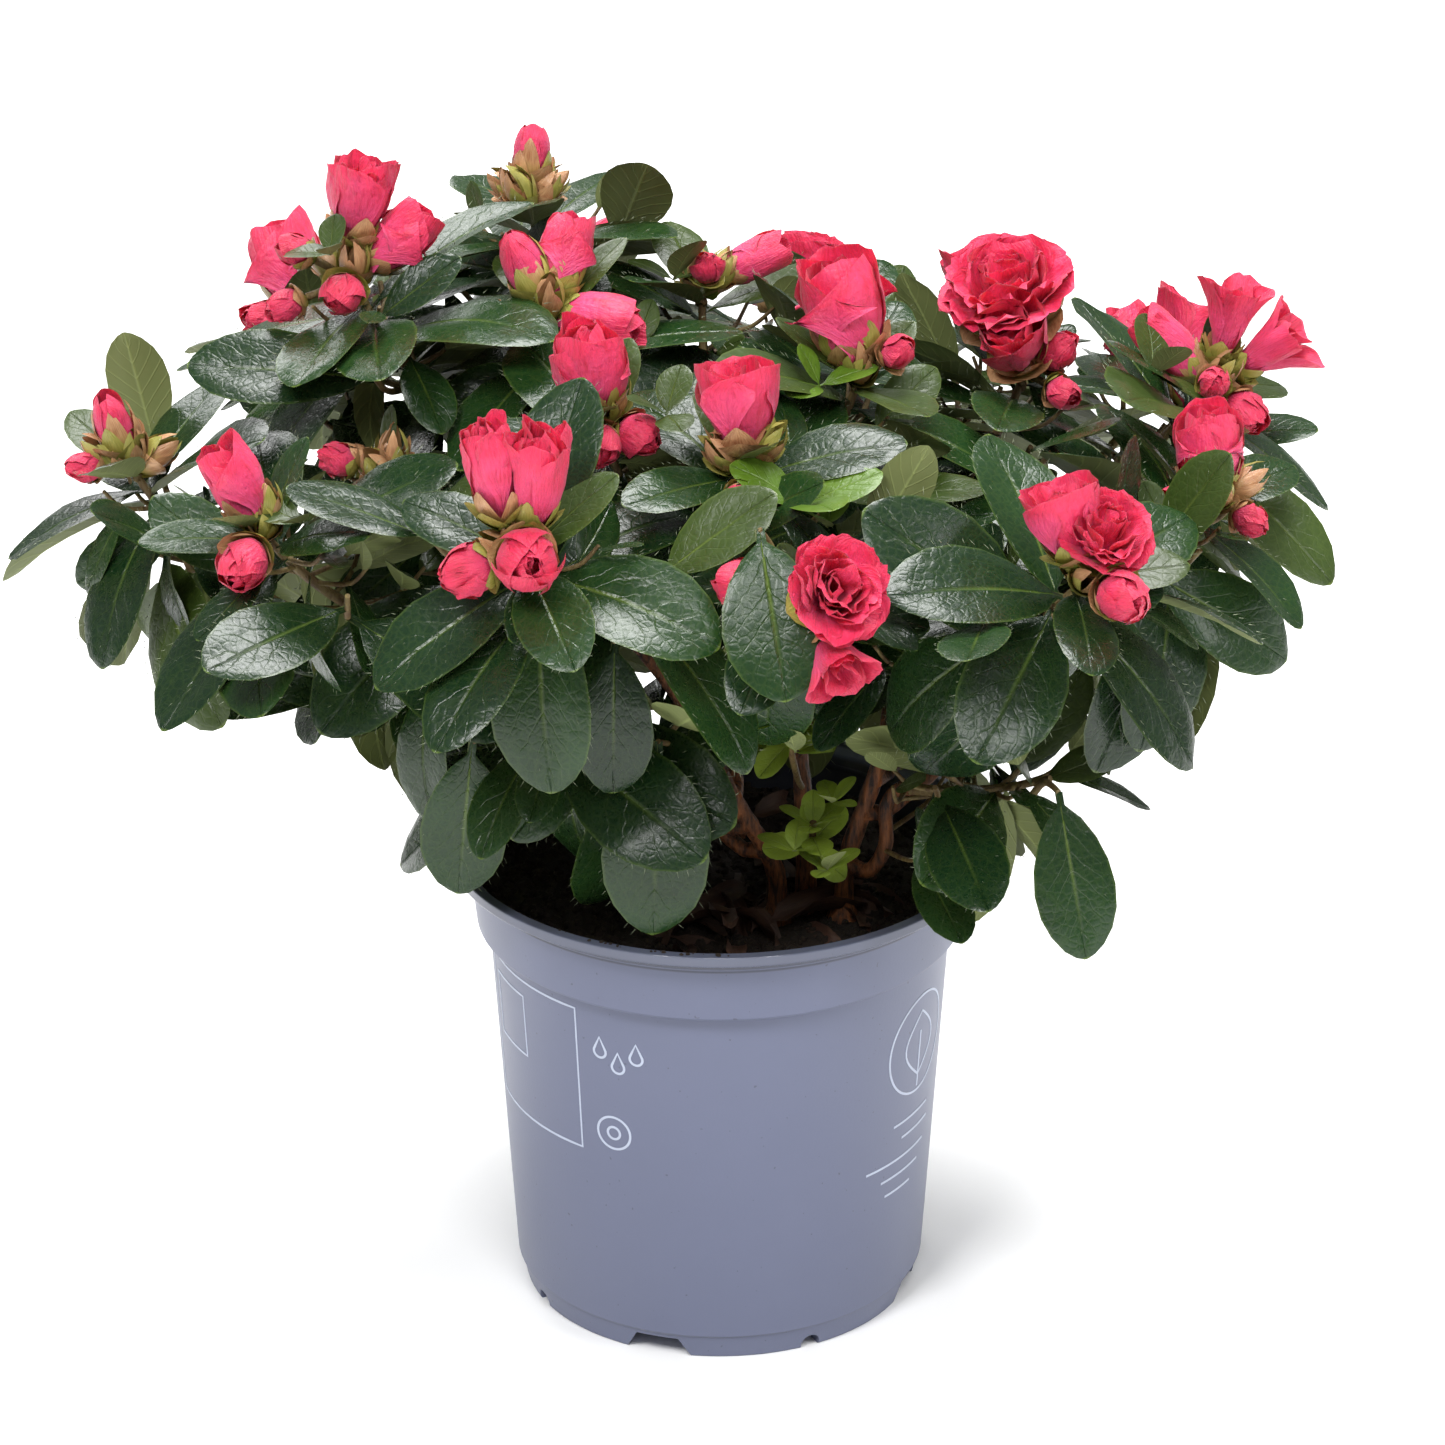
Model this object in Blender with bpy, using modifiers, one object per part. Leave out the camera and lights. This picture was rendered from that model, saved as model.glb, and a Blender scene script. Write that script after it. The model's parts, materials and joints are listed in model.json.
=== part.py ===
"""A potted, double-flowered Indian azalea.

Five woody stems stand on the peat of a 12 cm nursery pot. Boughs leave them
and end where they enter a spray: one mass of foliage, with its own short stem,
side twigs, rosettes of leaves and, at its top, flowers and buds.
Metres, +Z up, origin at the centre of the pot's underside, the front is -Y.
"""
import math
import random

import bmesh
import bpy
from mathutils import Matrix, Vector
from mathutils.bvhtree import BVHTree

MM = 0.001
GAP = 0.3 * MM
UP = Vector((0, 0, 1))
GOLDEN_ANGLE = math.radians(137.5)
SEED = 412

# Pot: radii and heights of the turned wall, in metres
POT_SIDES = 30
POT_HEIGHT = 107 * MM
WALL = 1.2 * MM
LIP_RADIUS = 60 * MM
LIP_HEIGHT = 2.4 * MM
LIP_WIDTH = 2.6 * MM
LIP_CHAMFER = 0.3 * MM
LIP_INNER_DROP = 1.4 * MM
BAND_RADIUS = 56.6 * MM
BAND_HEIGHT = 2.4 * MM
UNDERCUT = 0.3 * MM
COLLAR_TOP_RADIUS = 55.4 * MM
COLLAR_FOOT_RADIUS = 54.0 * MM
COLLAR_FOOT_Z = 89 * MM
BODY_TOP_RADIUS = 51.2 * MM
BODY_TOP_Z = 87.6 * MM
BODY_FOOT_RADIUS = 45.9 * MM
FOOT_HEIGHT = 6 * MM
FOOT_TOP_RADIUS = 45.3 * MM
FOOT_BOTTOM_RADIUS = 44.1 * MM
FOOT_WIDTH = 3.4 * MM
FOOT_DRAFT = 0.6 * MM
FLOOR_Z = 1.8 * MM
LEDGE_Z = 6.5 * MM
LEDGE_RADIUS = 36 * MM
LEDGE_SLOPE = 2 * MM
INNER_FOOT_RADIUS = BODY_FOOT_RADIUS - WALL - 1 * MM
INNER_STEP_Z = BODY_TOP_Z + 1 * MM
INNER_COLLAR_Z = COLLAR_FOOT_Z + 1.5 * MM
NOTCH_COUNT = 4
NOTCH_TURN = math.radians(-108)
NOTCH_DEPTH = 10 * MM
WIDE_NOTCH_WIDTH = 14 * MM
WIDE_NOTCH_HEIGHT = 4.6 * MM
WIDE_NOTCH_TOP_SHARE = 0.6
ROUND_NOTCH_RADIUS = 2.3 * MM
ROUND_NOTCH_Z = 0.8 * MM
ROUND_NOTCH_SIDES = 8
DRAIN_RADIUS = 3.2 * MM
DRAIN_CIRCLE = 27 * MM
DRAIN_DEPTH = 6 * MM
DRAIN_SIDES = 6

# Peat: what fills the pot, slightly heaped round the stems
PEAT_Z = 95.5 * MM
PEAT_HEAP = 1.5 * MM
PEAT_HEAP_RADIUS = 38 * MM
PEAT_SPREAD = 1.6 * MM
PEAT_EDGE_WIDTH = 3 * MM
PEAT_EDGE_DROP = 2 * MM
PEAT_SIDES = 16

# Limbs
STEM_SIDES_LEVEL = 1
BOUGH_SIDES_LEVEL = 0
STEM_RADIUS = 2.5 * MM
STEM_TIP_RADIUS = 2.0 * MM
FLARE = 1.7
FLARE_HEIGHT = 7 * MM
STEM_CUT_HEIGHT = 1.5 * MM
STEM_UPRIGHT = 4.2 * MM
STEM_BEND = 0.42
STEM_POINTS = 6
BOUGH_RADIUS = 1.75 * MM
BOUGH_TIP_RADIUS = 1.35 * MM
BOUGH_POINTS = 4
BOUGH_OUTWARD = 0.8
BOUGH_UPWARD = 0.6
BOUGH_BEND = 0.36
LIMB_END = 3 * MM
SPRAY_GAP = 0.4 * MM
SPRAY_STEM_RADIUS = 1.3 * MM
TWIG_RADIUS = 1.0 * MM
SHOOT_LENGTH = 36 * MM
SHOOT_POINTS = 5
SHOOT_ROOT_PULL = 0.4
SHOOT_TIP_PULL = 12 * MM
ROOT_LEAN = 22
MOST_LEAN = 80
TWIG_LENGTH = 27 * MM
TWIG_LENGTH_RANGE = (0.85, 1.1)
TWIG_OUTWARD = 0.86
TWIG_UPWARD = 0.42
TWIG_FIRST_RUN = 9 * MM
TWIG_LAST_RISE = 7 * MM
TWIG_SWING_WANDER = 10
TWIG_TURN = 2.1
# swing from the outward direction in degrees, and place on the spray's stem
TWIG_PLACES = ((-78, 0.20), (74, 0.34), (8, 0.10))

# Leaves
LEAF_LENGTH = 44 * MM
YOUNG_LEAF_LENGTH = 17 * MM
TWIG_YOUNG_LEAF_LENGTH = 30 * MM
TWIG_LEAVES = 4
LEAF_WIDTH_SHARE = 0.5
LEAF_THICKNESS = 0.9 * MM
LEAF_CLEARANCE = 0.45 * MM
LEAF_FREE_FROM = 0.18
LIGHT_SHARE = 0.35
LEAST_BEND = 0.05
LEAF_STATIONS = ((0.36, 0.88), (0.74, 0.86))
# a leaf's points: 0 root, 1 tip, 2 keel, 3 and 4 the first pair, 5 and 6 the second
LEAF_FACES = (
    (0, 3, 4),
    (3, 5, 6, 4),
    (5, 1, 6),
    (0, 2, 3),
    (0, 4, 2),
    (2, 5, 3),
    (2, 4, 6),
    (2, 1, 5),
    (2, 6, 1),
)

# Rosettes: for the youngest and the oldest leaf, the place below the shoot's
# tip, the angle from the shoot and the bend, the last two in degrees
ROSETTE_DEPTH = (2 * MM, 17 * MM)
ROSETTE_ANGLE = (32, 100)
ROSETTE_BEND = (10, 42)
OPENING = 0.7
GROWTH = 1.7
ANGLE_WANDER = 8
TURN_WANDER = 0.15
LENGTH_RANGE = (0.86, 1.08)
FOLD_RANGE = (0.02, 0.22)
# turn in radians and drop in degrees of the poses that a leaf tries in turn
POSES = ((0, 0), (0.2, 4), (-0.2, 4), (0.1, -12), (-0.35, 14), (0.35, 10))

# name: foot on the peat, and the tip, in millimetres
STEMS = {
    "front": ((13, -20), (0, -28, 136)),
    "middle": ((19, -14), (15, -10, 160)),
    "right": ((27, -20), (36, -23, 142)),
    "left": ((-24, 4), (-40, 3, 146)),
    "back": ((2, 24), (1, 36, 158)),
}

# name: tip in millimetres, stem, place on the stem (1 is its tip), number of
# leaves in the rosette, its turn and its lean from upright in degrees
SPRAYS = {
    "front_left": ((-41, -80, 210), "front", 1.0, 11, 120, 38),
    "right_front": ((75, -75, 202), "right", 1.0, 11, 60, 38),
    "centre": ((-25, -35, 221), "front", 0.82, 9, 200, 18),
    "centre_front": ((5, -50, 217), "middle", 0.74, 9, 210, 26),
    "low_front": ((16, -82, 200), "middle", 0.60, 4, 30, 60),
    "left_front": ((-96, -45, 200), "front", 0.62, 10, 60, 34),
    "far_left": ((-128, 3, 196), "left", 0.66, 10, 300, 28),
    "upper_left": ((-79, 10, 236), "left", 1.0, 11, 105, 22),
    "upper_middle": ((-37, 5, 231), "middle", 0.88, 10, 165, 10),
    "centre_right": ((30, -10, 222), "middle", 1.0, 10, 75, 14),
    "top_right": ((-4, 35, 225), "back", 0.86, 9, 15, 8),
    "top": ((-42, 55, 237), "back", 1.0, 10, 15, 14),
    "right_top": ((67, 20, 211), "right", 0.90, 10, 60, 20),
    "far_right": ((107, 15, 210), "right", 0.76, 11, 210, 34),
    "right": ((105, -27, 200), "right", 0.58, 10, 315, 38),
    "left_middle": ((-71, -20, 202), "left", 0.84, 8, 195, 26),
    "rear_left": ((-92, 62, 206), "left", 0.52, 9, 240, 34),
    "rear_middle": ((-34, 98, 200), "back", 0.62, 9, 120, 36),
    "rear": ((18, 92, 197), "back", 0.70, 9, 345, 34),
    "rear_right": ((64, 74, 196), "back", 0.50, 9, 90, 34),
    "rear_far_right": ((98, 58, 192), "middle", 0.62, 9, 60, 38),
    "low_left": ((-42, -48, 154), "front", 0.42, 8, 285, 62),
    "low_right": ((70, -45, 142), "right", 0.28, 6, 210, 64),
    "low_rear": ((12, 76, 150), "back", 0.30, 6, 60, 66),
    "low_side": ((-90, 38, 146), "left", 0.20, 6, 45, 62),
}

# name: tip in millimetres, stem, place on the stem, of the young leafy shoots
SPRIGS = {
    "upper": ((14, -44, 157), "middle", 0.46),
    "lower": ((20, -37, 128), "middle", 0.24),
}
SPRIG_LEAVES = 6
SPRIG_LEAF_LENGTH = 13 * MM
SPRIG_RUN = 6 * MM
SPRIG_POINTS = 4

# name: each flower's or bud's form, its far end from the tip of the spray in
# millimetres, and its radius in millimetres
BLOOMS = {
    "front_left": (
        ("double", (-7, -3, 24), 10),
        ("double", (6, 5, 22), 9),
        ("bud", (4, -17, 3), 7),
        ("bud", (-15, -6, -5), 6),
    ),
    "right_front": (
        ("double", (-8, 1, 19), 8),
        ("double", (5, -5, 17), 9),
        ("bud", (9, -18, 1), 6),
    ),
    "centre": (("vase", (-3, -2, 20), 7), ("bud", (0, -15, -4), 5), ("bud", (12, -11, -2), 5)),
    "centre_front": (("vase", (-2, 3, 20), 9), ("bud", (-1, -17, -5), 4)),
    "low_front": (
        ("double", (10, -20, 13), 10),
        ("fan", (9, -19, -10), 9),
        ("bud", (-17, 1, 3), 6),
    ),
    "left_front": (("vase", (-9, 0, 17), 5), ("bud", (-4, -17, -5), 6)),
    "far_left": (("scaled", (-4, -1, 15), 5), ("bud", (-12, -6, 0), 4), ("bud", (12, 2, 4), 4)),
    "upper_left": (
        ("double", (5, 2, 26), 8),
        ("vase", (20, 0, 14), 7),
        ("bud", (-15, -1, 7), 4),
        ("bud", (-2, -16, -1), 5),
        ("bud", (-17, -9, -6), 4),
    ),
    "upper_middle": (
        ("scaled", (-8, 0, 16), 5),
        ("vase", (6, 8, 17), 6),
        ("vase", (20, -7, -3), 5),
        ("bud", (-17, -9, -4), 4),
    ),
    "centre_right": (("vase", (-6, 3, 23), 9), ("bud", (10, -9, 8), 4)),
    "top_right": (("bud", (2, -8, 8), 4), ("vase", (18, 4, 7), 4)),
    "top": (("scaled", (1, 3, 16), 4), ("bud", (-9, 0, 6), 3.5), ("bud", (10, 1, 7), 3.5)),
    "right_top": (
        ("double", (-5, 8, 30), 14),
        ("vase", (-7, -13, 15), 9),
        ("bud", (9, -7, 8), 5),
        ("bud", (9, -16, -2), 4),
    ),
    "far_right": (
        ("fan", (4, 0, 22), 8),
        ("fan", (20, -2, 13), 8),
        ("vase", (-16, 4, 12), 5),
        ("bud", (-1, -14, 4), 4),
        ("bud", (9, -13, -6), 5),
    ),
    "right": (("vase", (-3, 1, 18), 7), ("bud", (9, -10, -4), 4), ("vase", (-11, -8, 0), 5)),
    "left_middle": (("bud", (-13, -2, 5), 4), ("bud", (7, -9, -8), 4)),
    "rear_left": (("vase", (-8, 8, 20), 8), ("bud", (-14, -6, 2), 5), ("bud", (3, 15, 0), 5)),
    "rear_middle": (("scaled", (-3, 8, 14), 5), ("vase", (12, 8, 13), 6), ("bud", (-13, 6, 2), 4)),
    "rear": (("double", (5, 8, 21), 10), ("bud", (-12, 8, 5), 5), ("bud", (12, -6, 6), 5)),
    "rear_right": (
        ("double", (-6, 5, 22), 9),
        ("vase", (10, 9, 17), 7),
        ("bud", (2, 17, 0), 5),
    ),
    "rear_far_right": (("fan", (10, 7, 17), 9), ("vase", (-8, 10, 14), 6), ("bud", (12, -10, 2), 5)),
}

# form: (share of the length, share of the radius, ruffle) of each ring, and how
# far the middle stands along the length
FORMS = {
    "double": (((0.42, 0.78, 0.0), (0.92, 0.97, 0.10)), 0.80),
    "vase": (((0.40, 0.74, 0.0), (0.94, 0.92, 0.08)), 0.78),
    "fan": (((0.42, 0.50, 0.0), (0.93, 1.0, 0.14)), 0.66),
    "bud": (((0.40, 0.95, 0.0), (0.78, 0.88, 0.0)), 1.0),
    "scaled": (((0.38, 1.0, 0.0), (0.76, 0.72, 0.0)), 1.0),
}
FLOWER_SIDES = 6
BUD_SIDES = 5
RUFFLE_RISE = 0.5
BLOOM_STALK = 2 * MM

COLOURS = {
    "pot_plastic": ((0.235, 0.262, 0.36), 0.45),
    "peat": ((0.022, 0.014, 0.01), 0.95),
    "bark": ((0.19, 0.075, 0.035), 0.75),
    "foliage": ((0.025, 0.07, 0.022), 0.35),
}


def material(name):
    """The named finish, made once."""
    found = bpy.data.materials.get(name)
    if found:
        return found
    colour, roughness = COLOURS[name]
    made = bpy.data.materials.new(name)
    made.use_nodes = True
    shader = made.node_tree.nodes["Principled BSDF"]
    shader.inputs["Base Color"].default_value = (*colour, 1)
    shader.inputs["Roughness"].default_value = roughness
    return made


def collection(name, render=True):
    made = bpy.data.collections.new(name)
    bpy.context.scene.collection.children.link(made)
    made.hide_render = not render
    return made


def put(name, mesh, finish, into):
    """A new object with this mesh and finish, linked into a collection."""
    obj = bpy.data.objects.new(name, mesh)
    mesh.materials.clear()
    mesh.materials.append(material(finish))
    into.objects.link(obj)
    return obj


def baked(obj):
    """The object's evaluated mesh."""
    bpy.context.view_layer.update()
    graph = bpy.context.evaluated_depsgraph_get()
    return bpy.data.meshes.new_from_object(obj.evaluated_get(graph))


def cut(obj, cutters):
    """Takes the cutters' shapes out of the object."""
    knife = obj.modifiers.new("cut", "BOOLEAN")
    knife.operation = "DIFFERENCE"
    knife.operand_type = "COLLECTION"
    knife.collection = cutters
    knife.solver = "EXACT"


def turned(name, profile, sides, finish, into):
    """A closed profile of (radius, height) turned about the pot's axis."""
    mesh = bpy.data.meshes.new(name)
    points = [(radius, 0, height) for radius, height in profile]
    count = len(points)
    edges = [(i, i + 1) for i in range(count - 1)]
    if profile[0][0] > 0:
        edges.append((count - 1, 0))
    mesh.from_pydata(points, edges, [])
    obj = put(name, mesh, finish, into)
    screw = obj.modifiers.new("turn", "SCREW")
    screw.steps = screw.render_steps = sides
    screw.use_merge_vertices = True
    screw.merge_threshold = 0.0001
    screw.use_normal_calculate = True
    return obj


def pot_profile():
    """From the floor's top out and up inside, then down outside to the axis."""
    lip_z = POT_HEIGHT - LIP_HEIGHT
    band_z = lip_z - BAND_HEIGHT
    outer = [
        (LIP_RADIUS, POT_HEIGHT),
        (LIP_RADIUS, lip_z),
        (BAND_RADIUS, lip_z - UNDERCUT),
        (BAND_RADIUS, band_z),
        (COLLAR_TOP_RADIUS, band_z - UNDERCUT),
        (COLLAR_FOOT_RADIUS, COLLAR_FOOT_Z),
        (BODY_TOP_RADIUS, BODY_TOP_Z),
        (BODY_FOOT_RADIUS, FOOT_HEIGHT),
        (FOOT_TOP_RADIUS, FOOT_HEIGHT - UNDERCUT),
        (FOOT_BOTTOM_RADIUS, 0),
        (FOOT_BOTTOM_RADIUS - FOOT_WIDTH, 0),
        (FOOT_BOTTOM_RADIUS - FOOT_WIDTH - FOOT_DRAFT, FLOOR_Z),
        (0, FLOOR_Z),
    ]
    inner = [
        (0, FLOOR_Z + WALL),
        (LEDGE_RADIUS - LEDGE_SLOPE, FLOOR_Z + WALL),
        (LEDGE_RADIUS, LEDGE_Z),
        (INNER_FOOT_RADIUS, LEDGE_Z),
        (BODY_TOP_RADIUS - WALL, INNER_STEP_Z),
        (COLLAR_FOOT_RADIUS - WALL, INNER_COLLAR_Z),
        (COLLAR_TOP_RADIUS - WALL, band_z),
        (BAND_RADIUS - WALL, lip_z),
        (LIP_RADIUS - LIP_WIDTH, POT_HEIGHT - LIP_INNER_DROP),
        (LIP_RADIUS - LIP_WIDTH + LIP_CHAMFER, POT_HEIGHT),
    ]
    return inner + outer


def make_pot(into, cutters):
    """The turned pot, with the notches of its foot and its drain holes."""
    pot = turned("pot", pot_profile(), POT_SIDES, "pot_plastic", into)
    for step in range(NOTCH_COUNT):
        turn = NOTCH_TURN + step * math.tau / NOTCH_COUNT
        wide_notch(turn, cutters)
        round_notch(turn + math.pi / NOTCH_COUNT, cutters)
        drain_hole(turn, cutters)
    cut(pot, cutters)
    return pot


def cutter(name, form, matrix, cutters):
    """A hidden solid that is cut out of the pot."""
    mesh = bpy.data.meshes.new(name)
    form.to_mesh(mesh)
    form.free()
    mesh.transform(matrix)
    obj = bpy.data.objects.new(name, mesh)
    obj.hide_render = True
    obj.display_type = "WIRE"
    cutters.objects.link(obj)


def wide_notch(turn, cutters):
    """A slot with sloping ends through the foot ring."""
    form = bmesh.new()
    bmesh.ops.create_cube(form, size=1)
    for vertex in form.verts:
        if vertex.co.z > 0:
            vertex.co.y *= WIDE_NOTCH_TOP_SHARE
    tall = 2 * WIDE_NOTCH_HEIGHT
    place = (
        Matrix.Rotation(turn, 4, "Z")
        @ Matrix.Translation((FOOT_BOTTOM_RADIUS, 0, 0))
        @ Matrix.Diagonal((NOTCH_DEPTH, WIDE_NOTCH_WIDTH, tall, 1))
    )
    cutter("wide_notch", form, place, cutters)


def round_notch(turn, cutters):
    """A small half-round hole through the foot ring."""
    form = bmesh.new()
    bmesh.ops.create_cone(
        form,
        cap_ends=True,
        segments=ROUND_NOTCH_SIDES,
        radius1=ROUND_NOTCH_RADIUS,
        radius2=ROUND_NOTCH_RADIUS,
        depth=NOTCH_DEPTH,
    )
    place = (
        Matrix.Rotation(turn, 4, "Z")
        @ Matrix.Translation((FOOT_BOTTOM_RADIUS, 0, ROUND_NOTCH_Z))
        @ Matrix.Rotation(math.pi / 2, 4, "Y")
    )
    cutter("round_notch", form, place, cutters)


def drain_hole(turn, cutters):
    """A hole straight down through the pot's floor."""
    form = bmesh.new()
    bmesh.ops.create_cone(
        form,
        cap_ends=True,
        segments=DRAIN_SIDES,
        radius1=DRAIN_RADIUS,
        radius2=DRAIN_RADIUS,
        depth=DRAIN_DEPTH,
    )
    place = Matrix.Rotation(turn, 4, "Z") @ Matrix.Translation(
        (DRAIN_CIRCLE, 0, FLOOR_Z + WALL / 2)
    )
    cutter("drain_hole", form, place, cutters)


def make_peat(into):
    """The root ball and potting peat, clear of the pot's wall, on its floor."""
    floor = FLOOR_Z + WALL + GAP
    ledge = LEDGE_Z + GAP
    edge = BODY_TOP_RADIUS - WALL - 2 * GAP
    top = edge + PEAT_SPREAD
    profile = [
        (0, PEAT_Z + PEAT_HEAP),
        (PEAT_HEAP_RADIUS, PEAT_Z + PEAT_HEAP),
        (top - PEAT_EDGE_WIDTH, PEAT_Z),
        (top, PEAT_Z - PEAT_EDGE_DROP),
        (edge, BODY_TOP_Z),
        (INNER_FOOT_RADIUS - 2 * GAP, ledge),
        (LEDGE_RADIUS - GAP, ledge),
        (LEDGE_RADIUS - LEDGE_SLOPE - 2 * GAP, floor),
        (0, floor),
    ]
    return turned("peat", profile, PEAT_SIDES, "peat", into)


def bezier(a, b, c, d, count):
    """Evenly numbered points on a cubic curve."""
    points = []
    for step in range(count):
        t = step / (count - 1)
        u = 1 - t
        points.append(
            a * u**3 + b * (3 * u * u * t) + c * (3 * u * t * t) + d * t**3
        )
    return points


def along(points, share):
    """The point and direction at a share of a polyline's length."""
    lengths = [(b - a).length for a, b in zip(points, points[1:])]
    left = share * sum(lengths)
    for (a, b), length in zip(zip(points, points[1:]), lengths):
        if left <= length:
            return a.lerp(b, left / length), (b - a).normalized()
        left -= length
    return points[-1].copy(), (points[-1] - points[-2]).normalized()


def heading(point):
    """The horizontal direction from the pot's axis to a point."""
    flat = Vector((point.x, point.y, 0))
    return flat.normalized() if flat.length > 1 * MM else Vector((0, -1, 0))


def leaned(outward, degrees):
    """A direction leaned outward from upright."""
    angle = math.radians(degrees)
    return outward * math.sin(angle) + UP * math.cos(angle)


def stem_path(name):
    """From the flat cut on the peat, first straight up, to the stem's tip."""
    (x, y), tip = STEMS[name]
    foot = Vector((x, y, 0)) * MM
    foot.z = PEAT_Z + PEAT_HEAP + GAP
    end = Vector(tip) * MM
    rise = (end.z - foot.z) * STEM_BEND
    pull = (end - foot).normalized() * rise
    upright = [foot, foot + UP * STEM_CUT_HEIGHT]
    return upright + bezier(
        foot + UP * STEM_UPRIGHT, foot + UP * rise, end - pull, end, STEM_POINTS
    )


def stem_radius(share, height):
    """Tapers to the tip and flares at the root."""
    flare = max(0.0, 1 - height / FLARE_HEIGHT) ** 2 * (FLARE - 1) + 1
    return (STEM_RADIUS + (STEM_TIP_RADIUS - STEM_RADIUS) * share) * flare


def limb_curve(name, points, radii, level, into):
    """A tapering round limb, with flat ends."""
    curve = bpy.data.curves.new(name, "CURVE")
    curve.dimensions = "3D"
    curve.bevel_depth = 1
    curve.bevel_resolution = level
    curve.use_fill_caps = True
    spline = curve.splines.new("POLY")
    spline.points.add(len(points) - 1)
    for target, point, radius in zip(spline.points, points, radii):
        target.co = (*point, 1)
        target.radius = radius
    curve.materials.append(material("bark"))
    obj = bpy.data.objects.new(name, curve)
    into.objects.link(obj)
    return obj


def spray_frame(name):
    """The spray's tip, its axis there, its root and its direction at the root."""
    tip, lean = Vector(SPRAYS[name][0]) * MM, SPRAYS[name][5]
    outward = heading(tip)
    axis = leaned(outward, lean)
    rootward = leaned(outward, min(lean + ROOT_LEAN, MOST_LEAN))
    root = tip - (axis + rootward).normalized() * SHOOT_LENGTH
    return tip, axis, root, rootward


def bough_path(name, stem):
    """From the side or the tip of its stem to the spray's root."""
    share = SPRAYS[name][2]
    _, _, root, rootward = spray_frame(name)
    place, along_stem = along(stem, share)
    if share >= 1:
        start = place + along_stem * GAP
        first = along_stem
    else:
        outward = root - place
        outward -= along_stem * outward.dot(along_stem)
        outward.normalize()
        first = (outward * BOUGH_OUTWARD + along_stem * BOUGH_UPWARD).normalized()
        radius = stem_radius(share, place.z - stem[0].z)
        clear = radius + GAP + BOUGH_RADIUS * first.dot(along_stem)
        start = place + outward * clear
    end = root - rootward * LIMB_END
    begin = start + first * LIMB_END
    reach = (end - begin).length * BOUGH_BEND
    middle = bezier(begin, begin + first * reach, end - rootward * reach, end, BOUGH_POINTS)
    return [start] + middle + [root]


def skin(rings, start=None, end=None):
    """(points, faces) of a closed skin over equal rings, with pointed or flat ends."""
    sides = len(rings[0])
    points = [point for ring in rings for point in ring]
    faces = []
    for row in range(len(rings) - 1):
        base = row * sides
        for i in range(sides):
            j = (i + 1) % sides
            faces.append((base + i, base + j, base + sides + j, base + sides + i))
    last = (len(rings) - 1) * sides
    if start is None:
        faces.append(tuple(reversed(range(sides))))
    else:
        points.append(start)
        faces += [(len(points) - 1, (i + 1) % sides, i) for i in range(sides)]
    if end is None:
        faces.append(tuple(last + i for i in range(sides)))
    else:
        points.append(end)
        faces += [
            (len(points) - 1, last + i, last + (i + 1) % sides) for i in range(sides)
        ]
    return points, faces


def cross_frame(direction):
    """Two directions square to this one."""
    side = direction.cross(UP)
    if side.length < 0.05:
        side = direction.cross(Vector((1, 0, 0)))
    side.normalize()
    return side, side.cross(direction).normalized()


def tube(points, radii, sides):
    """A faceted tapering tube."""
    rings = []
    for i, point in enumerate(points):
        ahead = points[min(i + 1, len(points) - 1)] - points[max(i - 1, 0)]
        side, rise = cross_frame(ahead.normalized())
        ring = []
        for step in range(sides):
            angle = step * math.tau / sides
            spoke = side * math.cos(angle) + rise * math.sin(angle)
            ring.append(point + spoke * radii[i])
        rings.append(ring)
    return skin(rings)


def leaf_point(leaf, share, across, lift):
    """A point of the leaf: along its midrib, across it and above it."""
    bend = leaf["bend"]
    turn = bend * share
    ahead = math.sin(turn) / bend
    down = (1 - math.cos(turn)) / bend
    spine = leaf["root"] + leaf["length"] * (
        leaf["ahead"] * ahead - leaf["upper"] * down
    )
    normal = leaf["upper"] * math.cos(turn) + leaf["ahead"] * math.sin(turn)
    return spine + leaf["side"] * across + normal * lift


def leaf_solid(leaf, extra=0.0, first=0.0):
    """A thin blade on a keel: its root, two pairs of edge points and its tip."""
    half = leaf["length"] * LEAF_WIDTH_SHARE / 2 + extra
    last = 1 + extra / leaf["length"]
    keel = (LEAF_STATIONS[0][0] + LEAF_STATIONS[1][0]) / 2
    points = [leaf_point(leaf, first, 0, 0), leaf_point(leaf, last, 0, 0)]
    points.append(leaf_point(leaf, keel, 0, -LEAF_THICKNESS - extra))
    for share, wide in LEAF_STATIONS:
        edge = half * wide
        for across in (-edge, edge):
            points.append(leaf_point(leaf, share, across, edge * leaf["fold"] + extra))
    return points, LEAF_FACES


def make_leaf(root, axis, polar, azimuth, length, bend, fold):
    """A leaf that leaves the shoot's axis at this angle and turn."""
    side, rise = cross_frame(axis)
    spoke = side * math.cos(azimuth) + rise * math.sin(azimuth)
    ahead = axis * math.cos(polar) + spoke * math.sin(polar)
    facing = (axis * (1 - LIGHT_SHARE) + UP * LIGHT_SHARE).normalized()
    upper = (facing - ahead * facing.dot(ahead)).normalized()
    return {
        "root": root,
        "ahead": ahead,
        "upper": upper,
        "side": ahead.cross(upper),
        "length": length,
        "bend": bend,
        "fold": fold,
    }


def blend(a, b, share):
    return a + (b - a) * share


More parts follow.
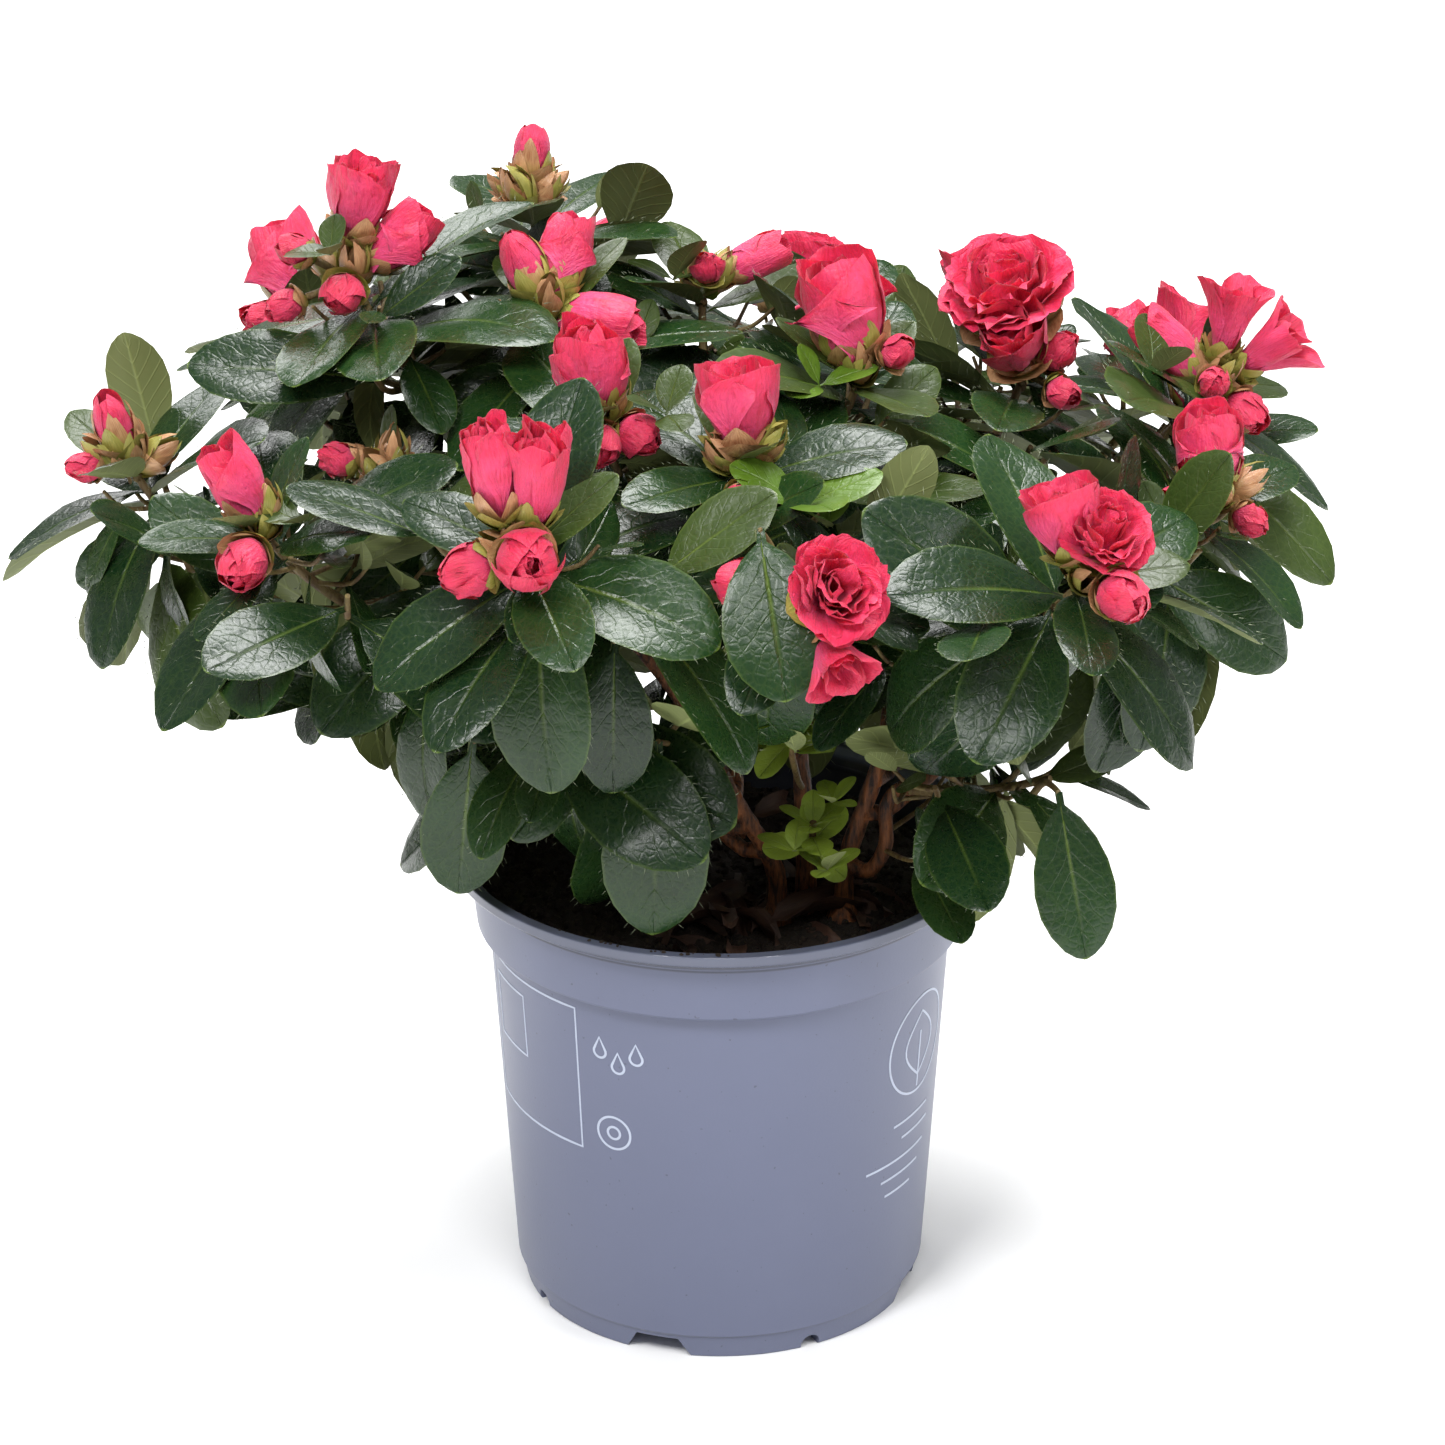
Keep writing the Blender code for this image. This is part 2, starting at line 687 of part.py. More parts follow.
def rosette(shoot, count, turn, chance, young):
    """The leaves round a shoot's tip, the oldest lowest, longest and widest spread."""
    leaves = []
    for i in range(count):
        age = 1 - i / (count - 1)
        length = blend(young, LEAF_LENGTH, min(1, age * GROWTH))
        place, axis = along(shoot, 1 - blend(*ROSETTE_DEPTH, age) / path_length(shoot))
        polar = blend(*ROSETTE_ANGLE, age**OPENING) + chance.uniform(-ANGLE_WANDER, ANGLE_WANDER)
        leaves.append(
            {
                "root": place,
                "axis": axis,
                "polar": math.radians(polar),
                "azimuth": turn + i * GOLDEN_ANGLE + chance.uniform(-TURN_WANDER, TURN_WANDER),
                "length": length * chance.uniform(*LENGTH_RANGE),
                "bend": math.radians(
                    blend(*ROSETTE_BEND, age) + chance.uniform(-ANGLE_WANDER, ANGLE_WANDER)
                ),
                "fold": chance.uniform(*FOLD_RANGE),
            }
        )
    return leaves


def path_length(points):
    return sum((b - a).length for a, b in zip(points, points[1:]))


def bloom_solid(foot, end, form, radius):
    """A flower as a ruffled funnel with a sunken middle, or a plump bud."""
    stations, middle = FORMS[form]
    sides = FLOWER_SIDES if middle < 1 else BUD_SIDES
    span = end - foot
    length = span.length
    ahead = span.normalized()
    side, rise = cross_frame(ahead)
    rings = []
    for share, wide, ruffle in stations:
        ring = []
        for step in range(sides):
            angle = step * math.tau / sides
            wave = ruffle * (-1) ** step
            spoke = side * math.cos(angle) + rise * math.sin(angle)
            height = length * (share + wave * RUFFLE_RISE)
            ring.append(foot + ahead * height + spoke * radius * (wide + wave))
        rings.append(ring)
    return skin(rings, foot, foot + ahead * length * middle)


def blooms(name, tip, axis):
    """The flowers and buds on a spray's tip."""
    foot = tip - axis * BLOOM_STALK
    return [
        bloom_solid(foot, tip + Vector(end) * MM, form, radius * MM)
        for form, end, radius in BLOOMS.get(name, ())
    ]


def touches(solid, others):
    """Whether a solid meets any of the listed trees of faces."""
    points, faces = solid
    tree = BVHTree.FromPolygons(points, faces)
    low = Vector(min(p[i] for p in points) for i in range(3))
    high = Vector(max(p[i] for p in points) for i in range(3))
    for other_low, other_high, other in others:
        apart = any(
            low[i] > other_high[i] or high[i] < other_low[i] for i in range(3)
        )
        if not apart and tree.overlap(other):
            return True
    return False


def listed(solid):
    """A solid's box and tree of faces, for the touch test."""
    points, faces = solid
    low = Vector(min(p[i] for p in points) for i in range(3))
    high = Vector(max(p[i] for p in points) for i in range(3))
    return low, high, BVHTree.FromPolygons(points, faces)


def mesh_solid(mesh):
    points = [vertex.co.copy() for vertex in mesh.vertices]
    return points, [tuple(polygon.vertices) for polygon in mesh.polygons]


def fits(leaf, own, others, limbs):
    """Whether a leaf keeps clear of the limbs, the pot and the other leaves."""
    if touches(leaf_solid(leaf, LEAF_CLEARANCE), others + limbs):
        return False
    return not touches(leaf_solid(leaf, LEAF_CLEARANCE, LEAF_FREE_FROM), own)


def settle(wish, own, others, limbs):
    """The first of a few poses of a leaf that fits, or None."""
    for turn, drop in POSES:
        leaf = make_leaf(
            wish["root"],
            wish["axis"],
            wish["polar"] + math.radians(drop),
            wish["azimuth"] + turn,
            wish["length"],
            max(wish["bend"], LEAST_BEND),
            wish["fold"],
        )
        if fits(leaf, own, others, limbs):
            return leaf
    return None


def plan_spray(name, number):
    """The spray's stem, its side twigs and the leaves it would like to have."""
    count, turn = SPRAYS[name][3], math.radians(SPRAYS[name][4])
    tip, axis, root, rootward = spray_frame(name)
    chance = random.Random(SEED + number)
    start = root + rootward * SPRAY_GAP
    stem = bezier(
        start,
        start + rootward * SHOOT_LENGTH * SHOOT_ROOT_PULL,
        tip - axis * SHOOT_TIP_PULL,
        tip,
        SHOOT_POINTS,
    )
    outward = heading(tip)
    sideways = outward.cross(UP)
    twigs = []
    for swing, share in TWIG_PLACES:
        angle = math.radians(swing + chance.uniform(-TWIG_SWING_WANDER, TWIG_SWING_WANDER))
        away = outward * math.cos(angle) + sideways * math.sin(angle)
        foot, _ = along(stem, share)
        length = TWIG_LENGTH * chance.uniform(*TWIG_LENGTH_RANGE)
        end = foot + (away * TWIG_OUTWARD + UP * TWIG_UPWARD).normalized() * length
        twigs.append(bezier(foot, foot + away * TWIG_FIRST_RUN, end - UP * TWIG_LAST_RISE, end, 3))
    return {
        "stem": stem,
        "twigs": twigs,
        "wishes": rosette(stem, count, turn, chance, YOUNG_LEAF_LENGTH),
        "more": [
            rosette(twig, TWIG_LEAVES, turn + i * TWIG_TURN, chance, TWIG_YOUNG_LEAF_LENGTH)
            for i, twig in enumerate(twigs)
        ],
        "blooms": blooms(name, tip, axis),
    }


def sprig_start(name, stem):
    """Where a sprig leaves the side of its stem, and which way."""
    tip, _, share = SPRIGS[name]
    place, along_stem = along(stem, share)
    outward = Vector(tip) * MM - place
    outward -= along_stem * outward.dot(along_stem)
    outward.normalize()
    clear = stem_radius(share, place.z - stem[0].z) + GAP
    return place + outward * clear, outward


def plan_sprig(name, number):
    """A thin green shoot straight off a stem, with small leaves at its tip."""
    chance = random.Random(SEED - 1 - number)
    start, outward = sprig_start(name, stem_path(SPRIGS[name][1]))
    tip = Vector(SPRIGS[name][0]) * MM
    stem = bezier(start, start + outward * SPRIG_RUN, tip - UP * SPRIG_RUN, tip, SPRIG_POINTS)
    wishes = rosette(stem, SPRIG_LEAVES, 0.4 + number, chance, SPRIG_LEAF_LENGTH * 0.6)
    for wish in wishes:
        wish["length"] = min(wish["length"], SPRIG_LEAF_LENGTH)
    return {"stem": stem, "twigs": [], "wishes": wishes, "more": [], "blooms": []}


def taper(count, first, last):
    return [blend(first, last, i / (count - 1)) for i in range(count)]


def grow(limbs):
    """Every spray's solids, with what would touch something else left out."""
    plans = {"spray_" + name: plan_spray(name, i) for i, name in enumerate(SPRAYS)}
    for i, name in enumerate(SPRIGS):
        plans["sprig_" + name] = plan_sprig(name, i)
    solids = {name: [] for name in plans}
    trees = {name: [] for name in plans}

    def add(name, solid):
        solids[name].append(solid)
        trees[name].append(listed(solid))

    def others(name):
        return [tree for other in plans if other != name for tree in trees[other]]

    for name, plan in plans.items():
        stem = plan["stem"]
        thick = SPRAY_STEM_RADIUS if plan["twigs"] else TWIG_RADIUS
        add(name, tube(stem, taper(len(stem), thick, TWIG_RADIUS), 3))
        for solid in plan["blooms"]:
            add(name, solid)
    for name, plan in plans.items():
        plan["kept"] = []
        for i, twig in enumerate(plan["twigs"]):
            solid = tube(twig, taper(len(twig), TWIG_RADIUS, TWIG_RADIUS * 0.8), 3)
            if not touches(solid, others(name) + limbs):
                add(name, solid)
                plan["kept"].append(i)
    for name, plan in plans.items():
        for wish in plan["wishes"]:
            leaf = settle(wish, trees[name], others(name), limbs)
            if leaf:
                add(name, leaf_solid(leaf))
    for name, plan in plans.items():
        for i in plan["kept"]:
            for wish in plan["more"][i]:
                leaf = settle(wish, trees[name], others(name), limbs)
                if leaf:
                    add(name, leaf_solid(leaf))
    return solids


def solid_mesh(name, solid):
    mesh = bpy.data.meshes.new(name)
    points, faces = solid
    mesh.from_pydata(points, [], faces)
    form = bmesh.new()
    form.from_mesh(mesh)
    bmesh.ops.recalc_face_normals(form, faces=form.faces)
    bmesh.ops.triangulate(form, faces=form.faces)
    form.to_mesh(mesh)
    form.free()
    return mesh


def main_body(mesh):
    """Keeps the largest connected shell and drops loose scraps and sealed hollows."""
    form = bmesh.new()
    form.from_mesh(mesh)
    form.verts.ensure_lookup_table()
    seen, shells = set(), []
    for vertex in form.verts:
        if vertex.index in seen:
            continue
        shell, front = [], [vertex]
        seen.add(vertex.index)
        while front:
            here = front.pop()
            shell.append(here)
            for edge in here.link_edges:
                other = edge.other_vert(here)
                if other.index not in seen:
                    seen.add(other.index)
                    front.append(other)
        shells.append(shell)
    shells.sort(key=len)
    scraps = [vertex for shell in shells[:-1] for vertex in shell]
    bmesh.ops.delete(form, geom=scraps, context="VERTS")
    bmesh.ops.triangulate(form, faces=form.faces)
    form.to_mesh(mesh)
    form.free()
    return mesh


def fuse(name, solids, into):
    """One Boolean union of a spray's stem with its twigs, leaves and flowers."""
    first = put(name, solid_mesh(name, solids[0]), "foliage", into)
    group = collection(name + "_pieces", render=False)
    for i, solid in enumerate(solids[1:]):
        piece = bpy.data.objects.new("piece", solid_mesh("piece", solid))
        group.objects.link(piece)
    union = first.modifiers.new("union", "BOOLEAN")
    union.operation = "UNION"
    union.operand_type = "COLLECTION"
    union.collection = group
    union.solver = "EXACT"
    mesh = main_body(baked(first))
    first.modifiers.remove(union)
    first.data = mesh
    first.data.name = name
    for piece in list(group.objects):
        bpy.data.objects.remove(piece)
    bpy.data.collections.remove(group)
    return first


def main():
    for obj in list(bpy.data.objects):
        bpy.data.objects.remove(obj)
    plant = collection("potted_azalea")
    cutters = collection("pot_cutters", render=False)
    pot = make_pot(plant, cutters)
    peat = make_peat(plant)
    limbs = [pot, peat]
    for name in STEMS:
        path = stem_path(name)
        shares = [path_length(path[: i + 1]) / path_length(path) for i in range(len(path))]
        radii = [stem_radius(s, p.z - path[0].z) for s, p in zip(shares, path)]
        limbs.append(limb_curve("stem_" + name, path, radii, STEM_SIDES_LEVEL, plant))
    for name, spray in SPRAYS.items():
        path = bough_path(name, stem_path(spray[1]))
        radii = taper(len(path), BOUGH_RADIUS, BOUGH_TIP_RADIUS)
        limbs.append(limb_curve("bough_" + name, path, radii, BOUGH_SIDES_LEVEL, plant))
    solids = grow([listed(mesh_solid(baked(limb))) for limb in limbs])
    for name in solids:
        fuse(name, solids[name], plant)


main()
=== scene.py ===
"""A potted, double-flowered azalea, dressed for a studio picture.

Stems, boughs, twigs and leaves grow here by the same rule as the solids that
they replace. Metres, +Z up, the front is -Y, origin under the pot's middle.
"""
import json
import math
import random
from types import SimpleNamespace

import bmesh
import bpy
from mathutils import Matrix, Vector
from mathutils.bvhtree import BVHTree

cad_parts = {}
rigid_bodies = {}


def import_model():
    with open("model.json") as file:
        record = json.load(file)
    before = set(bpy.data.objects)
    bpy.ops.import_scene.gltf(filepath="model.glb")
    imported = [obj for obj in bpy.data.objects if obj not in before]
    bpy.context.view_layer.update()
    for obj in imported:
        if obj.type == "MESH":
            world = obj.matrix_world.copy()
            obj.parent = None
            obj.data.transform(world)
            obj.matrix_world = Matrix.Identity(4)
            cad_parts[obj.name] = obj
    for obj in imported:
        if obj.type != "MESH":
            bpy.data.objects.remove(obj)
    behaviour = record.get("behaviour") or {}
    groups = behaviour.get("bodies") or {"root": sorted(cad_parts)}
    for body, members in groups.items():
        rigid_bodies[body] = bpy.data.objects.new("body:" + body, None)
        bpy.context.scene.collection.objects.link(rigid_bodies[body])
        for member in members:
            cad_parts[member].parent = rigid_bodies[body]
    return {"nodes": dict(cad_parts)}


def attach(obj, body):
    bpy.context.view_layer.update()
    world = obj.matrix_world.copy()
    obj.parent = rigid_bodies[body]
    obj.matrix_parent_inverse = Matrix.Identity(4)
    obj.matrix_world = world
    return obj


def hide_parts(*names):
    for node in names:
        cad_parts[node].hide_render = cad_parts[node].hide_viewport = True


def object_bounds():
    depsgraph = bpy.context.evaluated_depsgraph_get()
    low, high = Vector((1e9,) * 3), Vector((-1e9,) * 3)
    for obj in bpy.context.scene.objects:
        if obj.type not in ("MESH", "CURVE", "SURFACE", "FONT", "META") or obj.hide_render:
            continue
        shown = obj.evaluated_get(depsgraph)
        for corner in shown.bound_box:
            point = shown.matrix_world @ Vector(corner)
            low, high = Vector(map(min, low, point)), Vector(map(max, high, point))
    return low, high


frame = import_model()
cad_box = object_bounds()

MM = 0.001
UP = Vector((0, 0, 1))
GOLDEN_ANGLE = math.radians(137.5)
SEED = 412
GAP = 0.3 * MM

# Limbs: a pair of radii is at the foot and at the tip
STEM_RADII = (2.5 * MM, 2.0 * MM)
STEM_POINTS = 6
STEM_CUT_HEIGHT = 1.5 * MM
STEM_UPRIGHT = 4.2 * MM
STEM_BEND = 0.42
FLARE = 1.7
FLARE_HEIGHT = 7 * MM
# share of a stem's radius that leaves room for the bark's relief
BARK_ROOM = 0.86
BOUGH_RADII = (1.75 * MM, 1.35 * MM)
BOUGH_POINTS = 4
BOUGH_OUTWARD = 0.8
BOUGH_UPWARD = 0.6
BOUGH_BEND = 0.36
LIMB_END = 3 * MM
SPRAY_GAP = 0.4 * MM
SPRAY_STEM_RADIUS = 1.3 * MM
SHOOT_LENGTH = 36 * MM
SHOOT_POINTS = 5
SHOOT_ROOT_PULL = 0.4
SHOOT_TIP_PULL = 12 * MM
ROOT_LEAN = 22
MOST_LEAN = 80
TWIG_RADIUS = 1.0 * MM
TWIG_LENGTH = 27 * MM
TWIG_LENGTH_RANGE = (0.85, 1.1)
TWIG_OUTWARD = 0.86
TWIG_UPWARD = 0.42
TWIG_FIRST_RUN = 9 * MM
TWIG_LAST_RISE = 7 * MM
TWIG_SWING_WANDER = 10
TWIG_TURN = 2.1
FINE_TWIG_RADIUS = 0.6 * MM
# size, then for each twig its swing from the outward direction in degrees and its
# place on the limb: the main twigs, the finer ones and those on the bough
TWIGS = (1, ((-78, 0.20), (74, 0.34), (8, 0.10)))
FINE_TWIGS = (0.62, (
    (-128, 0.45), (128, 0.30), (40, 0.55), (-36, 0.62), (178, 0.52), (-100, 0.70), (100, 0.66), (-160, 0.15),
))
BOUGH_TWIGS = (0.8, ((-80, 0.45), (95, 0.6), (-20, 0.75), (170, 0.85), (30, 0.3), (60, 0.95)))

# Leaves: lengths are of the old ones, and of the youngest at the tip of each shoot
LEAF_LENGTH = 44 * MM
YOUNG_LEAF_LENGTH = 17 * MM
TWIG_YOUNG_LEAF_LENGTH = 30 * MM
TWIG_LEAVES = 4
FINE_LEAF_SHARE = 0.66
BOUGH_LEAF_SHARE = 0.75
LEAF_WIDTH_SHARE = 0.5
LEAF_THICKNESS = 0.9 * MM
LEAF_CLEARANCE = 0.45 * MM
LEAF_FREE_FROM = 0.18
LIGHT_SHARE = 0.35
LEAST_BEND = 0.05
LEAF_STATIONS = ((0.36, 0.88), (0.74, 0.86))
# a plain leaf's points: 0 root, 1 tip, 2 keel, 3 and 4 the first pair, 5 and 6 the second
LEAF_FACES = (
    (0, 3, 4), (3, 5, 6, 4), (5, 1, 6), (0, 2, 3), (0, 4, 2), (2, 5, 3), (2, 4, 6), (2, 1, 5), (2, 6, 1),
)

# Rosettes: for the youngest and the oldest leaf, the place below the shoot's
# tip, the angle from the shoot and the bend, the last two in degrees
ROSETTE_DEPTH = (2 * MM, 17 * MM)
ROSETTE_ANGLE = (32, 100)
ROSETTE_BEND = (10, 42)
OPENING = 0.7
GROWTH = 1.7
ANGLE_WANDER = 8
TURN_WANDER = 0.15
LENGTH_RANGE = (0.86, 1.08)
FOLD_RANGE = (0.02, 0.22)
# turn in radians and drop in degrees of the poses that a leaf tries in turn
POSES = ((0, 0), (0.2, 4), (-0.2, 4), (0.1, -12), (-0.35, 14), (0.35, 10))

# name: foot on the peat, and the tip, in millimetres
STEMS = {
    "front": ((13, -20), (0, -28, 136)),
    "middle": ((19, -14), (15, -10, 160)),
    "right": ((27, -20), (36, -23, 142)),
    "left": ((-24, 4), (-40, 3, 146)),
    "back": ((2, 24), (1, 36, 158)),
}

# name: tip in millimetres, stem, place on the stem (1 is its tip), number of
# leaves in the rosette, its turn and its lean from upright in degrees
SPRAYS = {
    "front_left": ((-41, -80, 210), "front", 1.0, 11, 120, 38),
    "right_front": ((75, -75, 202), "right", 1.0, 11, 60, 38),
    "centre": ((-25, -35, 221), "front", 0.82, 9, 200, 18),
    "centre_front": ((5, -50, 217), "middle", 0.74, 9, 210, 26),
    "low_front": ((16, -82, 200), "middle", 0.60, 4, 30, 60),
    "left_front": ((-96, -45, 200), "front", 0.62, 10, 60, 34),
    "far_left": ((-128, 3, 196), "left", 0.66, 10, 300, 28),
    "upper_left": ((-79, 10, 236), "left", 1.0, 11, 105, 22),
    "upper_middle": ((-37, 5, 231), "middle", 0.88, 10, 165, 10),
    "centre_right": ((30, -10, 222), "middle", 1.0, 10, 75, 14),
    "top_right": ((-4, 35, 225), "back", 0.86, 9, 15, 8),
    "top": ((-42, 55, 237), "back", 1.0, 10, 15, 14),
    "right_top": ((67, 20, 211), "right", 0.90, 10, 60, 20),
    "far_right": ((107, 15, 210), "right", 0.76, 11, 210, 34),
    "right": ((105, -27, 200), "right", 0.58, 10, 315, 38),
    "left_middle": ((-71, -20, 202), "left", 0.84, 8, 195, 26),
    "rear_left": ((-92, 62, 206), "left", 0.52, 9, 240, 34),
    "rear_middle": ((-34, 98, 200), "back", 0.62, 9, 120, 36),
    "rear": ((18, 92, 197), "back", 0.70, 9, 345, 34),
    "rear_right": ((64, 74, 196), "back", 0.50, 9, 90, 34),
    "rear_far_right": ((98, 58, 192), "middle", 0.62, 9, 60, 38),
    "low_left": ((-42, -48, 154), "front", 0.42, 8, 285, 62),
    "low_right": ((70, -45, 142), "right", 0.28, 6, 210, 64),
    "low_rear": ((12, 76, 150), "back", 0.30, 6, 60, 66),
    "low_side": ((-90, 38, 146), "left", 0.20, 6, 45, 62),
}

# name: tip in millimetres, stem, place on the stem, of the young leafy shoots
SPRIGS = {
    "upper": ((14, -44, 157), "middle", 0.46),
    "lower": ((20, -37, 128), "middle", 0.24),
}
SPRIG_LEAVES = 6
SPRIG_LEAF_LENGTH = 13 * MM
SPRIG_RUN = 6 * MM
SPRIG_POINTS = 4

# spray or sprig: offset of a young rosette from its tip in millimetres, number of
# leaves, their length in millimetres and the turn of the first in degrees
YOUNG = {
    "centre_front": (((12, -9, -7), 3, 17, 250), ((17, -8, -12), 2, 14, 330)),
    "centre_right": (((-9, -9, -1), 3, 12, 100),),
    "far_right": (((-14, -9, 4), 3, 15, 10),),
    "top_right": (((-6, -6, 2), 3, 13, 60),),
    "left_front": (((10, -6, 3), 3, 14, 200),),
    "upper_left": (((-3, -12, 8), 3, 11, 20),),
    "centre": (((14, -6, 2), 3, 12, 300),),
    "upper": (((0, 0, -1), 5, 12, 40), ((3, -1, 2), 3, 9, 90), ((2, -3, -8), 3, 9, 200)),
    "lower": (
        ((0, 0, -1), 5, 8, 0), ((4, -1, 5), 4, 7, 70), ((-4, -2, -6), 4, 8, 10), ((3, -3, -10), 4, 8, 150),
    ),
}
BRIGHT = ("centre_front", "centre_right")
YOUNG_WIDTH = 1.3
YOUNG_SHARE = 0.8
# angles from the shoot in degrees, how far the size varies, and bend and fold
YOUNG_ANGLE = (30, 84)
YOUNG_SIZE_RANGE = (0.8, 1.1)
YOUNG_SHAPE = (0.4, 0.08)

# tint: colour, colour of the ribs and roughness of its leaves
TINTS = {
    "dark": ((0.0068, 0.026, 0.0075), (0.13, 0.20, 0.035), 0.25),
    "mid": ((0.0115, 0.040, 0.009), (0.15, 0.22, 0.035), 0.25),
    "olive": ((0.038, 0.066, 0.011), (0.16, 0.22, 0.04), 0.34),
    # fresh and young are one young green: fresh is painted darker, as painted shade, for the top-lit young
    # leaves of the bright sprays, and young is painted brighter, as painted light, for the sprigs in the
    # crown's shadow
    "fresh": ((0.088, 0.170, 0.013), (0.22, 0.34, 0.06), 0.34),
    "young": ((0.36, 0.50, 0.055), (0.52, 0.62, 0.20), 0.42),
}
# how the rule's leaves are dealt out, and the chance that a youngest one is olive
TINT_SHARES = {"dark": 5, "mid": 5, "olive": 1}
OLIVE_AGE = 0.25
OLIVE_CHANCE = 0.35
# a visible leaf: its length against its plain solid's, and how it varies
LEAF_OVERSIZE = 1.02
LEAF_WIDTH_RANGE = (0.90, 1.06)
LEAF_FLARE_RANGE = (-0.02, 0.05)
LEAF_CRUMPLE_RANGE = (0.02, 0.10)

# broad leaves that hang towards the front: where their twig starts, root and tip
# in millimetres, and width
HANGING = (
    ((2, -27, 131), (-13, -50, 153), (-14, -62, 112), 1.05),
    ((14, -80, 197), (8, -83, 215), (13, -107, 190), 1.2),
    ((66, -42, 136), (71, -58, 145), (77, -72, 113), 0.95),
    ((-40, -46, 150), (-52, -48, 152), (-56, -52, 116), 1.0),
)
HANGING_TWIG_RADII = (0.9 * MM, 0.8 * MM, 0.6 * MM)

# name: each flower's or bud's form, its far end from the tip of the spray in
# millimetres, and its radius in millimetres
BLOOMS = {
    "front_left": (
        ("double", (-7, -3, 24), 10), ("double", (6, 5, 22), 9), ("bud", (4, -17, 3), 7),
        ("bud", (-15, -6, -5), 6),
    ),
    "right_front": (("double", (-8, 1, 19), 8), ("double", (5, -5, 17), 9), ("bud", (9, -18, 1), 6)),
    "centre": (("vase", (-3, -2, 20), 7), ("bud", (0, -15, -4), 5), ("bud", (12, -11, -2), 5)),
    "centre_front": (("vase", (-2, 3, 20), 9), ("bud", (-1, -17, -5), 4)),
    "low_front": (("double", (10, -20, 13), 10), ("fan", (9, -19, -10), 9), ("bud", (-17, 1, 3), 6)),
    "left_front": (("vase", (-9, 0, 17), 5), ("bud", (-4, -17, -5), 6)),
    "far_left": (("scaled", (-4, -1, 15), 5), ("bud", (-12, -6, 0), 4), ("bud", (12, 2, 4), 4)),
    "upper_left": (
        ("double", (5, 2, 26), 8), ("vase", (20, 0, 14), 7), ("bud", (-15, -1, 7), 4),
        ("bud", (-2, -16, -1), 5), ("bud", (-17, -9, -6), 4),
    ),
    "upper_middle": (
        ("scaled", (-8, 0, 16), 5), ("vase", (6, 8, 17), 6), ("vase", (20, -7, -3), 5),
        ("bud", (-17, -9, -4), 4),
    ),
    "centre_right": (("vase", (-6, 3, 23), 9), ("bud", (10, -9, 8), 4)),
    "top_right": (("bud", (2, -8, 8), 4), ("vase", (18, 4, 7), 4)),
    "top": (("scaled", (1, 3, 16), 4), ("bud", (-9, 0, 6), 3.5), ("bud", (10, 1, 7), 3.5)),
    "right_top": (
        ("double", (-5, 8, 30), 14), ("vase", (-7, -13, 15), 9), ("bud", (9, -7, 8), 5),
        ("bud", (9, -16, -2), 4),
    ),
    "far_right": (
        ("fan", (4, 0, 22), 8), ("fan", (20, -2, 13), 8), ("vase", (-16, 4, 12), 5),
        ("bud", (-1, -14, 4), 4), ("bud", (9, -13, -6), 5),
    ),
    "right": (("vase", (-3, 1, 18), 7), ("bud", (9, -10, -4), 4), ("vase", (-11, -8, 0), 5)),
    "left_middle": (("bud", (-13, -2, 5), 4), ("bud", (7, -9, -8), 4)),
    "rear_left": (("vase", (-8, 8, 20), 8), ("bud", (-14, -6, 2), 5), ("bud", (3, 15, 0), 5)),
    "rear_middle": (("scaled", (-3, 8, 14), 5), ("vase", (12, 8, 13), 6), ("bud", (-13, 6, 2), 4)),
    "rear": (("double", (5, 8, 21), 10), ("bud", (-12, 8, 5), 5), ("bud", (12, -6, 6), 5)),
    "rear_right": (("double", (-6, 5, 22), 9), ("vase", (10, 9, 17), 7), ("bud", (2, 17, 0), 5)),
    "rear_far_right": (("fan", (10, 7, 17), 9), ("vase", (-8, 10, 14), 6), ("bud", (12, -10, 2), 5)),
}
BLOOM_STALK = 2 * MM

# form of a plain solid: (share of the length, share of the radius, ruffle) of each
# ring, how far its middle stands along the length, and its sides
FORMS = {
    "double": (((0.42, 0.78, 0.0), (0.92, 0.97, 0.10)), 0.80, 6),
    "vase": (((0.40, 0.74, 0.0), (0.94, 0.92, 0.08)), 0.78, 6),
    "fan": (((0.42, 0.50, 0.0), (0.93, 1.0, 0.14)), 0.66, 6),
    "bud": (((0.40, 0.95, 0.0), (0.78, 0.88, 0.0)), 1.0, 5),
    "scaled": (((0.38, 1.0, 0.0), (0.76, 0.72, 0.0)), 1.0, 5),
}
RUFFLE_RISE = 0.5

